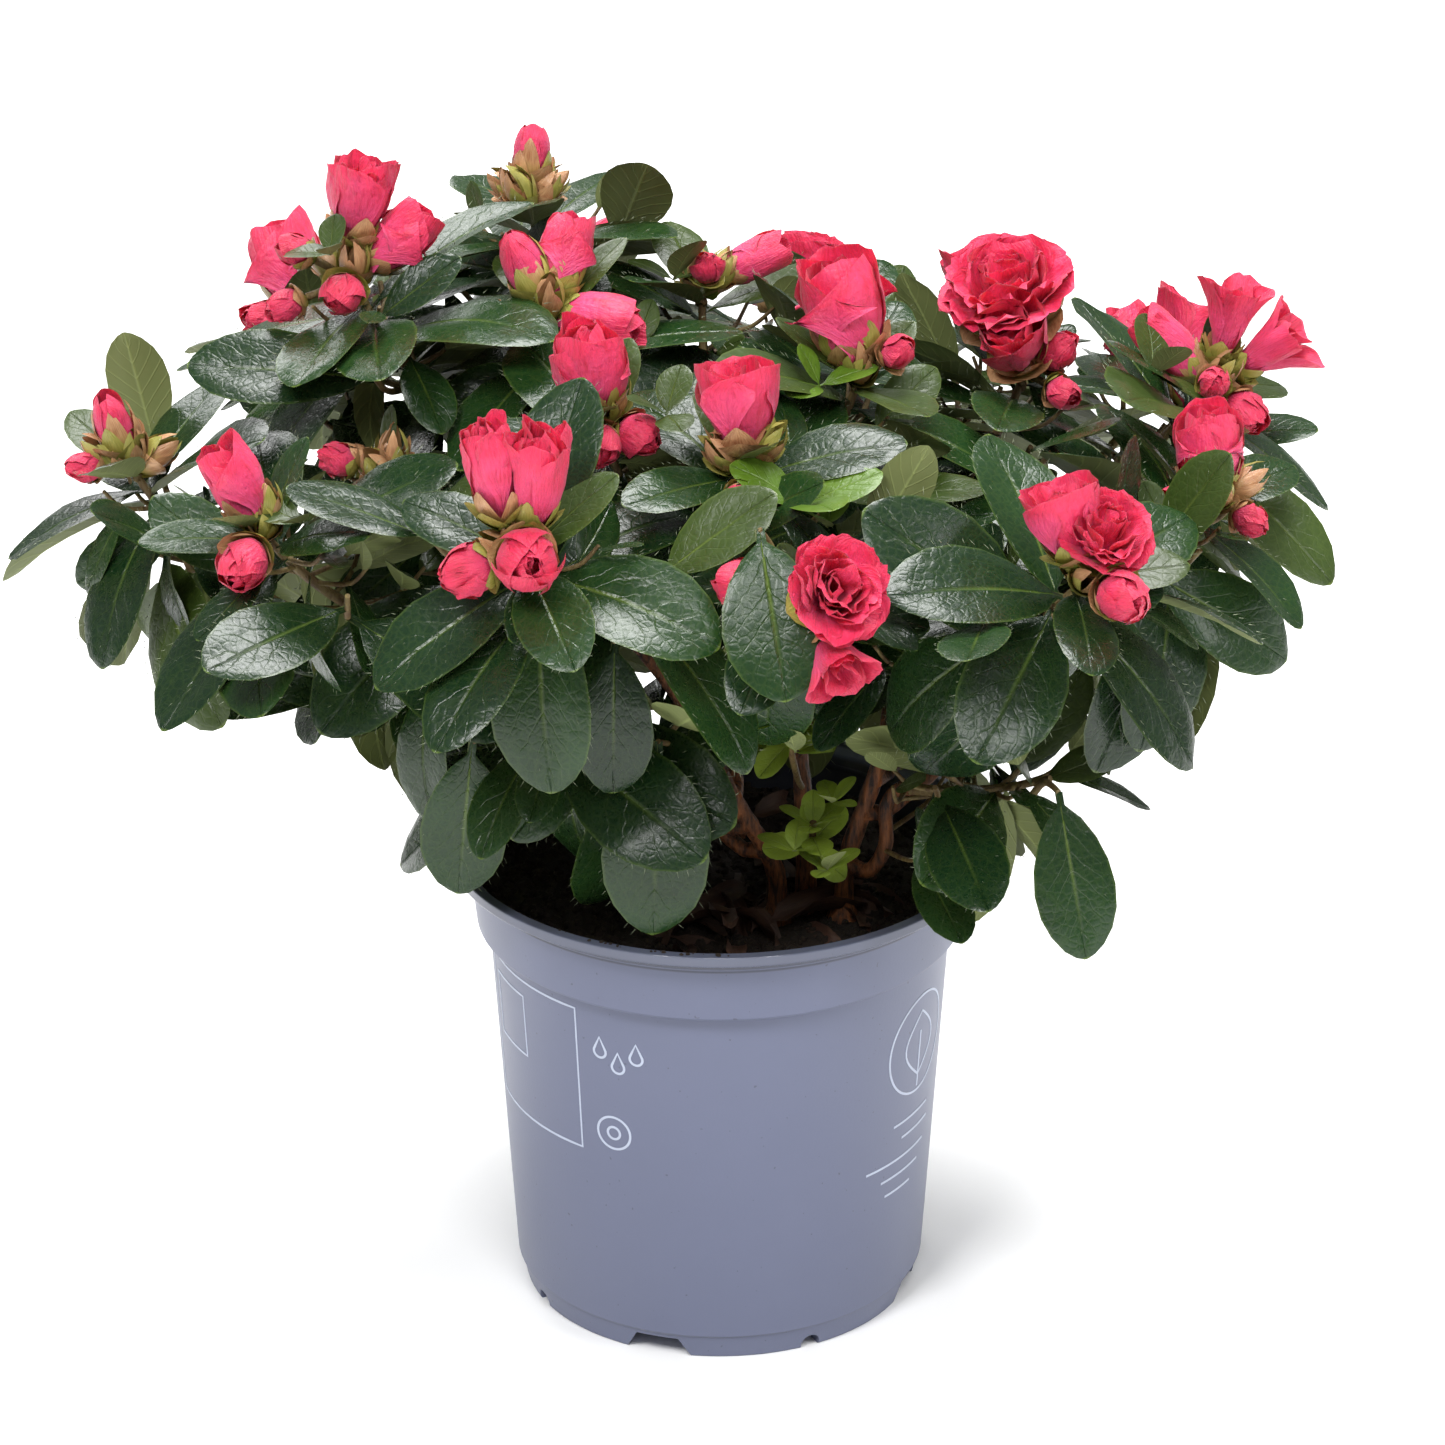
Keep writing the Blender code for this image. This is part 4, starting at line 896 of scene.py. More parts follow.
def stem_path(name):
    """From the flat cut on the peat, first straight up, to the stem's tip."""
    (x, y), tip = STEMS[name]
    foot, end = mm((x, y, 0)), mm(tip)
    foot.z = PEAT_TOP + GAP
    rise = (end.z - foot.z) * STEM_BEND
    pull = (end - foot).normalized() * rise
    curve = bezier(foot + UP * STEM_UPRIGHT, foot + UP * rise, end - pull, end, STEM_POINTS)
    return [foot, foot + UP * STEM_CUT_HEIGHT] + curve


def stem_radius(share, height):
    """Tapers to the tip and flares at the root."""
    return blend(*STEM_RADII, share) * (max(0.0, 1 - height / FLARE_HEIGHT) ** 2 * (FLARE - 1) + 1)


def spray_frame(name):
    """The spray's tip, its axis there, its root and its direction at the root."""
    tip, lean = mm(SPRAYS[name][0]), SPRAYS[name][5]
    outward = heading(tip)
    axis = around(UP, outward, math.radians(lean))
    rootward = around(UP, outward, math.radians(min(lean + ROOT_LEAN, MOST_LEAN)))
    return tip, axis, tip - (axis + rootward).normalized() * SHOOT_LENGTH, rootward


def bough_path(name):
    """The place on the stem, and the path from there to the spray's root."""
    _, stem, share, *_ = SPRAYS[name]
    stem = stem_path(stem)
    _, _, root, rootward = spray_frame(name)
    place, along_stem = along(stem, share)
    if share >= 1:
        start = place + along_stem * GAP
        first = along_stem
    else:
        outward = squared(root - place, along_stem)
        first = (outward * BOUGH_OUTWARD + along_stem * BOUGH_UPWARD).normalized()
        radius = stem_radius(share, place.z - stem[0].z)
        start = place + outward * (radius + GAP + BOUGH_RADII[0] * first.dot(along_stem))
    end = root - rootward * LIMB_END
    begin = start + first * LIMB_END
    reach = (end - begin).length * BOUGH_BEND
    middle = bezier(begin, begin + first * reach, end - rootward * reach, end, BOUGH_POINTS)
    return place, [start] + middle + [root]


def skin(rings, start=None, end=None):
    """(points, faces) of a closed skin over equal rings, with pointed or flat ends."""
    sides = len(rings[0])
    last = (len(rings) - 1) * sides
    points = [point for ring in rings for point in ring]
    pairs = [(i, (i + 1) % sides) for i in range(sides)]
    faces = [
        (base + i, base + j, base + sides + j, base + sides + i)
        for base in range(0, last, sides) for i, j in pairs
    ]
    if start is None:
        faces.append(tuple(reversed(range(sides))))
    else:
        points.append(start)
        faces += [(len(points) - 1, j, i) for i, j in pairs]
    if end is None:
        faces.append(tuple(last + i for i in range(sides)))
    else:
        points.append(end)
        faces += [(len(points) - 1, last + i, last + j) for i, j in pairs]
    return points, faces


def tube(points, radii, sides=3):
    """A faceted tapering tube."""
    rings = []
    for i, point in enumerate(points):
        ahead = points[min(i + 1, len(points) - 1)] - points[max(i - 1, 0)]
        square = cross_frame(ahead.normalized())
        rings.append([point + around(*square, step * math.tau / sides) * radii[i] for step in range(sides)])
    return skin(rings)


def leaf_point(leaf, share, across, lift):
    """A point of the leaf: along its midrib, across it and above it."""
    turn = leaf.bend * share
    ahead = math.sin(turn) / leaf.bend
    down = (1 - math.cos(turn)) / leaf.bend
    spine = leaf.root + leaf.length * (leaf.ahead * ahead - leaf.upper * down)
    return spine + leaf.side * across + around(leaf.upper, leaf.ahead, turn) * lift


def leaf_solid(leaf, extra=0.0, first=0.0):
    """A thin blade on a keel: its root, two pairs of edge points and its tip."""
    half = leaf.length * LEAF_WIDTH_SHARE / 2 + extra
    keel = (LEAF_STATIONS[0][0] + LEAF_STATIONS[1][0]) / 2
    ends = ((first, 0), (1 + extra / leaf.length, 0), (keel, -LEAF_THICKNESS - extra))
    points = [leaf_point(leaf, share, 0, lift) for share, lift in ends]
    for share, wide in LEAF_STATIONS:
        edge = half * wide
        points += [leaf_point(leaf, share, across, edge * leaf.fold + extra) for across in (-edge, edge)]
    return points, LEAF_FACES


def make_leaf(root, axis, polar, azimuth, length, bend, fold):
    """A leaf that leaves the shoot's axis at this angle and turn."""
    ahead = around(axis, around(*cross_frame(axis), azimuth), polar)
    upper = squared((axis * (1 - LIGHT_SHARE) + UP * LIGHT_SHARE).normalized(), ahead)
    side = ahead.cross(upper)
    return SimpleNamespace(
        root=root, ahead=ahead, side=side, upper=upper, length=length, bend=max(bend, LEAST_BEND), fold=fold
    )


def rosette(shoot, count, turn, chance, young, size=1, most=math.inf):
    """The leaves wished for round a shoot's tip, the oldest lowest, longest and widest spread."""
    wishes = []
    for i in range(count):
        age = 1 - i / (count - 1)
        place, axis = along(shoot, 1 - blend(*ROSETTE_DEPTH, age) / path_length(shoot))
        polar = blend(*ROSETTE_ANGLE, age**OPENING) + chance.uniform(-ANGLE_WANDER, ANGLE_WANDER)
        azimuth = turn + i * GOLDEN_ANGLE + chance.uniform(-TURN_WANDER, TURN_WANDER)
        length = blend(young, LEAF_LENGTH, min(1, age * GROWTH)) * chance.uniform(*LENGTH_RANGE) * size
        bend = blend(*ROSETTE_BEND, age) + chance.uniform(-ANGLE_WANDER, ANGLE_WANDER)
        shape = (min(length, most), math.radians(bend), chance.uniform(*FOLD_RANGE))
        wishes.append((age, place, axis, math.radians(polar), azimuth, *shape))
    return wishes


def bloom_solid(form, foot, end, radius):
    """The plain solid of a flower or bud, which leaves keep clear of."""
    stations, middle, sides = FORMS[form]
    length = (end - foot).length
    ahead = (end - foot).normalized()
    square = cross_frame(ahead)
    rings = []
    for share, wide, ruffle in stations:
        ring = []
        for step in range(sides):
            wave = ruffle * (-1) ** step
            height = length * (share + wave * RUFFLE_RISE)
            spoke = around(*square, step * math.tau / sides)
            ring.append(foot + ahead * height + spoke * radius * (wide + wave))
        rings.append(ring)
    return skin(rings, foot, foot + ahead * length * middle)


def listed(solid):
    """A solid's box and tree of faces, for the touch test."""
    points, faces = solid
    low, high = (Vector(pick(p[i] for p in points) for i in range(3)) for pick in (min, max))
    return low, high, BVHTree.FromPolygons(points, faces)


def touches(solid, others):
    """Whether a solid meets any of the listed trees of faces."""
    low, high, tree = listed(solid)
    for other_low, other_high, other in others:
        apart = any(low[i] > other_high[i] or high[i] < other_low[i] for i in range(3))
        if not apart and tree.overlap(other):
            return True
    return False


def node_solid(name):
    mesh = frame["nodes"][name].data
    return [vertex.co.copy() for vertex in mesh.vertices], [tuple(face.vertices) for face in mesh.polygons]


def settle(wish, own, others):
    """The first of a few poses of a leaf that fits, or None."""
    age, root, axis, polar, azimuth, *shape = wish
    for turn, drop in POSES:
        leaf = make_leaf(root, axis, polar + math.radians(drop), azimuth + turn, *shape)
        leaf.age = age
        if touches(leaf_solid(leaf, LEAF_CLEARANCE), others):
            continue
        if not touches(leaf_solid(leaf, LEAF_CLEARANCE, LEAF_FREE_FROM), own):
            return leaf
    return None


def side_twigs(limb, outward, spec, chance):
    """Twigs off a spray's stem or a bough."""
    size, places = spec
    twigs = []
    for swing, share in places:
        angle = math.radians(swing + chance.uniform(-TWIG_SWING_WANDER, TWIG_SWING_WANDER))
        away = around(outward, outward.cross(UP), angle)
        foot, _ = along(limb, share)
        length = TWIG_LENGTH * chance.uniform(*TWIG_LENGTH_RANGE) * size
        end = foot + (away * TWIG_OUTWARD + UP * TWIG_UPWARD).normalized() * length
        turn, rise = foot + away * TWIG_FIRST_RUN * size, end - UP * TWIG_LAST_RISE * size
        twigs.append(bezier(foot, turn, rise, end, 3))
    return twigs


def plan_spray(name, number):
    """The spray's stem, its side twigs and the leaves it would like to have."""
    count, turn = SPRAYS[name][3], math.radians(SPRAYS[name][4])
    tip, axis, root, rootward = spray_frame(name)
    chance = random.Random(SEED + number)
    start = root + rootward * SPRAY_GAP
    pull = start + rootward * SHOOT_LENGTH * SHOOT_ROOT_PULL
    stem = bezier(start, pull, tip - axis * SHOOT_TIP_PULL, tip, SHOOT_POINTS)
    outward = heading(tip)
    twigs = side_twigs(stem, outward, TWIGS, chance)
    wishes = rosette(stem, count, turn, chance, YOUNG_LEAF_LENGTH)
    turns = [turn + i * TWIG_TURN for i in range(len(twigs))]
    more = [rosette(twig, TWIG_LEAVES, t, chance, TWIG_YOUNG_LEAF_LENGTH) for twig, t in zip(twigs, turns)]
    fine = [(twig, FINE_LEAF_SHARE) for twig in side_twigs(stem, outward, FINE_TWIGS, chance)]
    _, bough = bough_path(name)
    fine += [(twig, BOUGH_LEAF_SHARE) for twig in side_twigs(bough, outward, BOUGH_TWIGS, chance)]
    foot = tip - axis * BLOOM_STALK
    blooms = [(form, foot, tip + mm(end), radius * MM) for form, end, radius in BLOOMS.get(name, ())]
    return SimpleNamespace(
        name=name, node="spray_" + name, stem=stem, wishes=wishes, twigs=list(zip(twigs, more)), fine=fine,
        blooms=blooms,
    )


def plan_sprig(name, number):
    """A thin green shoot straight off a stem, with small leaves at its tip."""
    chance = random.Random(SEED - 1 - number)
    tip, stem, share = SPRIGS[name]
    tip, stem = mm(tip), stem_path(stem)
    place, along_stem = along(stem, share)
    outward = squared(tip - place, along_stem)
    start = place + outward * (stem_radius(share, place.z - stem[0].z) + GAP)
    shoot = bezier(start, start + outward * SPRIG_RUN, tip - UP * SPRIG_RUN, tip, SPRIG_POINTS)
    most = SPRIG_LEAF_LENGTH
    wishes = rosette(shoot, SPRIG_LEAVES, 0.4 + number, chance, most * 0.6, most=most)
    return SimpleNamespace(
        name=name, node="sprig_" + name, stem=shoot, wishes=wishes, twigs=[], fine=[], blooms=[]
    )


def inside(wish):
    """Whether a leaf would end within the plant's reach."""
    low, high = cad_box
    tip = leaf_point(make_leaf(*wish[1:6], 0.3, 0.1), 1, 0, 0)
    return all(low[i] <= tip[i] <= high[i] for i in range(3))


def grow():
    """Every spray's twigs and leaves, with what would touch something else left out."""
    plans = [plan_spray(name, i) for i, name in enumerate(SPRAYS)]
    plans += [plan_sprig(name, i) for i, name in enumerate(SPRIGS)]
    nodes = ["pot", "peat"] + ["stem_" + name for name in STEMS] + ["bough_" + name for name in SPRAYS]
    limbs = [listed(node_solid(node)) for node in nodes]
    for plan in plans:
        thick = SPRAY_STEM_RADIUS if plan.twigs else TWIG_RADIUS
        plan.solids = [listed(tube(plan.stem, taper(len(plan.stem), thick, TWIG_RADIUS)))]
        plan.solids += [listed(bloom_solid(*bloom)) for bloom in plan.blooms]
        plan.leaves, plan.kept, plan.finest = [], [], []

    def others(plan):
        return limbs + [solid for other in plans if other is not plan for solid in other.solids]

    def put_on(plan, wishes):
        for wish in wishes:
            leaf = settle(wish, plan.solids, others(plan))
            if leaf:
                plan.leaves.append(leaf)
                plan.solids.append(listed(leaf_solid(leaf)))

    for plan in plans:
        for twig, wishes in plan.twigs:
            solid = tube(twig, taper(len(twig), TWIG_RADIUS, TWIG_RADIUS * 0.8))
            if not touches(solid, others(plan)):
                plan.solids.append(listed(solid))
                plan.kept.append((twig, wishes))
    for plan in plans:
        put_on(plan, plan.wishes)
    for plan in plans:
        for _, wishes in plan.kept:
            put_on(plan, wishes)
    for number, plan in enumerate(plans):
        chance = random.Random(SEED * 2 + number)
        for i, (twig, size) in enumerate(plan.fine):
            free = [blend(twig[0], twig[1], 0.3)] + twig[1:]
            solid = tube(free, [FINE_TWIG_RADIUS] * len(free))
            if touches(solid, others(plan)):
                continue
            wishes = rosette(twig, TWIG_LEAVES, i * TWIG_TURN, chance, YOUNG_LEAF_LENGTH, size)
            before = len(plan.leaves)
            put_on(plan, [wish for wish in wishes if inside(wish)])
            if len(plan.leaves) > before:
                plan.solids.append(listed(solid))
                plan.finest.append(twig)
    return plans


def new_mesh(name, points, faces, edges=()):
    mesh = bpy.data.meshes.new(name)
    mesh.from_pydata(points, edges, faces)
    return mesh


def linked(name, mesh, finish=None):
    obj = bpy.data.objects.new(name, mesh)
    bpy.context.scene.collection.objects.link(obj)
    if finish:
        mesh.materials.append(finish)
    return obj


def add_layer(mesh, label, values, kind="FLOAT", domain="POINT"):
    """An attribute of a mesh with its values."""
    field = "vector" if kind == "FLOAT_VECTOR" else "value"
    mesh.attributes.new(label, kind, domain).data.foreach_set(field, values)


def blade_form(name, stations, columns, half_width, relief, thick, droop=0.0):
    """A thin closed flat blade: its outline and relief as shares of its length.

    Its upper and under skins share the points round the edge."""
    points, faces = [], []
    top, bottom = {}, {}
    for i, s in enumerate(stations):
        for j, t in enumerate(columns):
            edge = i in (0, len(stations) - 1) or j in (0, len(columns) - 1)
            lift = relief(s, t) if relief else 0.0
            for skin_of, side in ((top, 1),) if edge else ((top, 1), (bottom, -1)):
                skin_of[i, j] = len(points)
                rise = 0 if edge else side * thick / 2
                points.append((half_width(s) * t, s - droop * t * t * s**4, lift + rise, t, s))
            if edge:
                bottom[i, j] = top[i, j]
    for i in range(len(stations) - 1):
        for j in range(len(columns) - 1):
            near, far = (i, j), (i + 1, j + 1)
            for corners in ((near, (i, j + 1), far), (near, far, (i + 1, j))):
                faces.append(tuple(top[corner] for corner in corners))
                faces.append(tuple(bottom[corner] for corner in reversed(corners)))
    rim = {index for place, index in top.items() if bottom[place] == index}
    return form_object(name, points, faces, [False, True] * (len(faces) // 2), rim)


def form_object(name, points, faces, under, rim=frozenset()):
    """A form for the bent blades: points of (across, along, lift, and the place on the blade)."""
    mesh = new_mesh(name, [point[:3] for point in points], faces)
    for index, label in enumerate(("across", "along", "lift")):
        add_layer(mesh, label, [point[index] for point in points])
    add_layer(mesh, "under", under, "BOOLEAN", "FACE")
    add_layer(mesh, "sharp_edge", [rim.issuperset(edge.vertices) for edge in mesh.edges], "BOOLEAN", "EDGE")
    uv = mesh.uv_layers.new(name="blade")
    for loop in mesh.loops:
        *_, t, s = points[loop.vertex_index]
        uv.data[loop.index].uv = (t / 2 + 0.5, s)
    return bpy.data.objects.new(name, mesh)


def hair_form(chance):
    """Fine bristles along a leaf's edges and over its face, as closed spikes."""
    points, faces = [], []
    for i in range(HAIRS):
        s = 0.14 + 0.84 * (i // 2 + chance.random()) / (HAIRS / 2)
        t = -1 if i % 2 else 1
        if i % 3 == 0:
            t *= chance.uniform(0.1, 0.9)
        x, thin = leaf_half(min(s, 0.995)) * t, 0.0022
        out = 0.020 * t + chance.uniform(-0.006, 0.006)
        a, b, c, d = range(len(points), len(points) + 4)
        for side, rise in ((-thin, 0), (thin, 0), (0, thin * 1.6)):
            points.append((x, s + side, rise + 0.002, t, s))
        points.append((x + out, s + chance.uniform(0.012, 0.034), chance.uniform(0.006, 0.020), t, s))
        if t > 0:
            a, b = b, a
        faces += [(a, b, c), (b, a, d), (c, b, d), (a, c, d)]
    return form_object("hairs", points, faces, [False] * len(faces))


def leaf_half(s):
    """An elliptic leaf on a short stalk, half its width at a share of its length."""
    stalk = 0.08
    if s <= stalk:
        return 0.024
    t = (s - stalk) / (1 - stalk)
    return max(0.010, 0.024 * (1 - t) + 0.25 * t**0.82 * max(1 - t, 0) ** 0.62 / 0.3805**0.98)


def leaf_relief(s, t):
    """A sunken midrib, gently rounded halves and edges that turn down."""
    grown_out = min(1, max(0, (s - 0.05) / 0.15)) * min(1, (1 - s) / 0.15)
    middle = -0.016 * max(0, 1 - abs(t) / 0.3)
    return (middle + (0.010 * math.sin(math.pi * abs(t)) - 0.012 * t**6)) * grown_out


def petal_half(s):
    """A narrow foot that widens to a broad rounded rim."""
    widening = min(1, s / 0.72)
    return 0.08 + 0.25 * widening * widening * (3 - 2 * widening) - 0.06 * (max(0, s - 0.8) / 0.2) ** 2


def scale_half(s):
    """A pointed boat."""
    return max(0.012, 0.26 * (0.12 + s) ** 0.5 * max(1 - s, 0) ** 0.7 / 0.72)


BLADE_DIRECTIONS = ("root", "ahead", "side", "upper")
BLADE_VALUES = ("length", "bend", "cup", "width", "flare", "crumple", "phase")


def blade(directions, values, chance):
    """A blade: its root and directions, and its values with a phase of its own."""
    item = dict(zip(BLADE_DIRECTIONS, directions))
    item.update(zip(BLADE_VALUES, (*values, chance.uniform(0, 100))))
    chance.random()  # a spare draw, so that the blades after it stay as they are
    return item


def blades(name, form, items, finish, under=None, crease=7.0):
    """One piece of blades: the form bent and placed once for each item."""
    mesh = new_mesh(name + "_points", [item["root"] for item in items], [])
    for label in BLADE_VALUES:
        add_layer(mesh, label, [item[label] for item in items])
    for label in BLADE_DIRECTIONS:
        add_layer(mesh, label, [value for item in items for value in item[label]], "FLOAT_VECTOR")
    made = grown(name, BLADES, mesh, form=form, finish=finish, under=under or finish, crease=crease)
    keep = ("position", "blade", "material_index", "sharp_face", "sharp_edge")
    for layer in [a.name for a in made.data.attributes if not a.name.startswith(".")]:
        if layer not in keep:
            made.data.attributes.remove(made.data.attributes[layer])
    return made


def leaf_blade(leaf, chance, width=None, share=1):
    """A leaf of the rule as a blade, as wide as its draw says where no width is given."""
    drawn = chance.uniform(*LEAF_WIDTH_RANGE)
    shape = (leaf.length * LEAF_OVERSIZE * share, leaf.bend, 8 * leaf.fold + 0.05, width or drawn)
    ruffle = (chance.uniform(*LEAF_FLARE_RANGE), chance.uniform(*LEAF_CRUMPLE_RANGE))
    return blade((leaf.root, leaf.ahead, leaf.side, leaf.upper), shape + ruffle, chance)


def ring(foot, axis, span, radius, spec, turn, chance):
    """A ring of petals or scales that stand round an axis."""
    count, rim, reach, inward, flare, crumple, width, wrap = spec
    square = cross_frame(axis)
    bend = math.radians(inward)
    out = radius * rim
    length = math.hypot(span * reach, out) * (bend / 2) / math.sin(bend / 2)
    straight = math.atan2(out, span * reach) + bend / 2
    cup = length / max(radius * wrap, 0.5 * MM)
    across = math.pi * max(out, radius * wrap * 0.8) / count * width / length
    made = []
    for i in range(count):
        azimuth = turn + i * math.tau / count + chance.uniform(-0.7, 0.7) * (crumple + 0.1)
        spoke = around(*square, azimuth)
        lean = straight + chance.uniform(-0.30, 0.30) * crumple
        ahead, upper = around(axis, spoke, lean), around(-spoke, axis, lean)
        middling = (length, -bend, cup, across / PETAL_HALF_WIDTH, flare, crumple)
        values = [value * chance.uniform(*limits) for value, limits in zip(middling, RING_RANGES)]
        made.append(blade((foot + spoke * radius * 0.08, ahead, ahead.cross(upper), upper), values, chance))
    return made


def bloom(form, foot, end, radius, chance):
    """Petals, scales and stalk of a flower or bud."""
    axis = (end - foot).normalized()
    if form == "bud":
        radius *= BUD_SHARE
    body = min((end - foot).length * 0.93, radius * LONGEST.get(form, 4.0))
    base = end - axis * body
    petals, scales = [], []
    turn = chance.uniform(0, math.tau)
    for i, spec in enumerate(PETALS[form]):
        petals += ring(base, axis, body, radius, spec, turn + i * 0.7, chance)
    for i, spec in enumerate(SCALES[form]):
        seat, wide = base - axis * radius * 0.1, radius * 1.06
        scales += ring(seat, axis, body, wide, spec + SCALE_SHAPE, turn + i + 0.5, chance)
    return petals, scales, [foot - axis * 2 * MM, base + axis * radius * 0.2]


def chain_mesh(chains):
    """Chains of (points, radii) as a mesh of edges with a thickness at each point."""
    points, edges, thick = [], [], []
    for line, radii in chains:
        edges += [(i, i + 1) for i in range(len(points), len(points) + len(line) - 1)]
        points += line
        thick += radii
    mesh = new_mesh("chains", points, [], edges)
    add_layer(mesh, "thick", thick)
    return mesh


def stem_chains():
    """Each stem, from just under the peat."""
    for name in STEMS:
        path = stem_path(name)
        shares = [path_length(path[: i + 1]) / path_length(path) for i in range(len(path))]
        radii = [stem_radius(s, p.z - path[0].z) * BARK_ROOM for s, p in zip(shares, path)]
        yield [path[0] - UP * 3 * MM] + path, [radii[0] * 1.15] + radii


def bough_chains():
    """Each bough, from inside its stem on into its spray."""
    for name in SPRAYS:
        place, path = bough_path(name)
        yield [place] + path, [BOUGH_RADII[0] * 1.3] + taper(len(path), *BOUGH_RADII)


def twig_chains(plans):
    """Each spray's stem and twigs."""
    for plan in plans:
        stem = plan.stem
        thick = SPRAY_STEM_RADIUS if plan.twigs else TWIG_RADIUS * 0.7
        start = stem[0] - (stem[1] - stem[0]).normalized() * 2 * MM
        yield [start] + stem, [thick] + taper(len(stem), thick, TWIG_RADIUS * 0.8)
        for twig, _ in plan.kept:
            yield twig, taper(len(twig), TWIG_RADIUS * 0.9, TWIG_RADIUS * 0.6)
        for twig in plan.finest:
            yield twig, taper(len(twig), FINE_TWIG_RADIUS, FINE_TWIG_RADIUS * 0.7)


def rounded(outline, radius, steps=3):
    """An outline of (radius, height) with each inner corner turned round an arc.

    A close row before and after each arc keeps the long faces flat when shaded smooth."""
    made = [outline[0]]
    for before, corner, after in zip(outline, outline[1:], outline[2:]):
        corner, before, after = Vector(corner), Vector(before), Vector(after)
        cut = min(radius, (before - corner).length * 0.4, (after - corner).length * 0.4)
        back, onward = (before - corner).normalized(), (after - corner).normalized()
        a, b = corner + back * cut, corner + onward * cut
        made.append(tuple(a + back * cut * 0.2))
        for step in range(steps + 1):
            t = step / steps
            made.append(tuple(a * (1 - t) ** 2 + corner * (2 * t * (1 - t)) + b * t**2))
        made.append(tuple(b + onward * cut * 0.2))
    return made + [outline[-1]]


def pot_outline():
    """From the floor's top out and up inside, then down outside to the axis."""
    foot_inside = FOOT_BOTTOM_RADIUS - FOOT_WIDTH
    return [
        (0, FLOOR_Z + WALL), (LEDGE_RADIUS - LEDGE_SLOPE, FLOOR_Z + WALL), (LEDGE_RADIUS, LEDGE_Z),
        (BODY_FOOT_RADIUS - WALL - 1 * MM, LEDGE_Z), (BODY_TOP_RADIUS - WALL, BODY_TOP_Z + 1 * MM),
        (COLLAR_FOOT_RADIUS - WALL, COLLAR_FOOT_Z + 1.5 * MM), (COLLAR_TOP_RADIUS - WALL, BAND_Z),
        (BAND_RADIUS - WALL, LIP_Z), (LIP_RADIUS - LIP_WIDTH, POT_HEIGHT - LIP_INNER_DROP),
        (LIP_RADIUS - LIP_WIDTH, POT_HEIGHT), (LIP_RADIUS, POT_HEIGHT), (LIP_RADIUS, LIP_Z),
        (BAND_RADIUS, LIP_Z - UNDERCUT), (BAND_RADIUS, BAND_Z), (COLLAR_TOP_RADIUS, BAND_Z - UNDERCUT),
        (COLLAR_FOOT_RADIUS, COLLAR_FOOT_Z), (BODY_TOP_RADIUS, BODY_TOP_Z), (BODY_FOOT_RADIUS, FOOT_HEIGHT),
        (FOOT_TOP_RADIUS, FOOT_HEIGHT - UNDERCUT), (FOOT_BOTTOM_RADIUS, 0), (foot_inside, 0),
        (foot_inside - FOOT_DRAFT, FLOOR_Z), (0, FLOOR_Z),
    ]


def lathe(outline, steps):
    """A closed shell turned about the pot's axis from an outline that ends on it."""
    rows = len(outline)
    points = [(0, 0, outline[0][1]), (0, 0, outline[-1][1])]
    for step in range(steps):
        points += [turned(radius, step * math.tau / steps, height) for radius, height in outline[1:-1]]

    def index(step, row):
        return {0: 0, rows - 1: 1}.get(row, 2 + (step % steps) * (rows - 2) + row - 1)

    faces = []
    for step in range(steps):
        for row in range(rows - 1):
            corners = ((step, row), (step, row + 1), (step + 1, row + 1), (step + 1, row))
            faces.append(tuple(dict.fromkeys(index(*corner) for corner in corners)))
    return new_mesh("pot_shell", points, faces)


def cutter(sides, radius, low, high, place, top_share=1):
    """A prism along +Z, narrower across at its top by top_share, put in its place."""
    points = []
    for z, share in ((low, 1), (high, top_share)):
        for i in range(sides):
            x, y, _ = turned(radius, (i + 0.5) * math.tau / sides, z)
            points.append((x, y * share, z))
    points, faces = skin([points[:sides], points[sides:]])
    mesh = new_mesh("cutter", points, faces)
    mesh.transform(place)
    return bpy.data.objects.new("cutter", mesh)


def make_pot(finish):
    """The moulded pot, with its rounded edges, notched foot and drain holes."""
    pot = linked("pot_shell", lathe(rounded(pot_outline(), POT_ROUNDING), POT_STEPS))
    group = bpy.data.collections.new("pot_cutters")
    sidelong = Matrix.Rotation(math.pi / 2, 4, "Y")
    for step in range(NOTCH_COUNT):
        turn = Matrix.Rotation(NOTCH_TURN + step * math.tau / NOTCH_COUNT, 4, "Z")
        half = Matrix.Rotation(math.pi / NOTCH_COUNT, 4, "Z")
        wide = turn @ Matrix.Translation((FOOT_BOTTOM_RADIUS, 0, 0)) @ Matrix.Diagonal(WIDE_NOTCH)
        small = turn @ half @ Matrix.Translation((FOOT_BOTTOM_RADIUS, 0, ROUND_NOTCH_Z)) @ sidelong
        drain = turn @ Matrix.Translation((DRAIN_CIRCLE, 0, FLOOR_Z + WALL / 2))
        for made in (
            cutter(4, 1 / math.sqrt(2), -0.2, 1, wide, WIDE_NOTCH_TOP_SHARE),
            cutter(16, ROUND_NOTCH_RADIUS, -NOTCH_DEPTH / 2, NOTCH_DEPTH / 2, small),
            cutter(20, DRAIN_RADIUS, -DRAIN_DEPTH / 2, DRAIN_DEPTH / 2, drain),
        ):
            group.objects.link(made)
    knife = pot.modifiers.new("cut", "BOOLEAN")
    knife.operation = "DIFFERENCE"
    knife.operand_type = "COLLECTION"
    knife.collection = group
    mesh = made_plain(pot, knife).data
    for made in list(group.objects):
        bpy.data.objects.remove(made)
    bpy.data.collections.remove(group)
    mesh.materials.clear()
    mesh.materials.append(finish)
    mesh.shade_smooth()
    mesh.set_sharp_from_angle(angle=math.radians(32))
    return pot


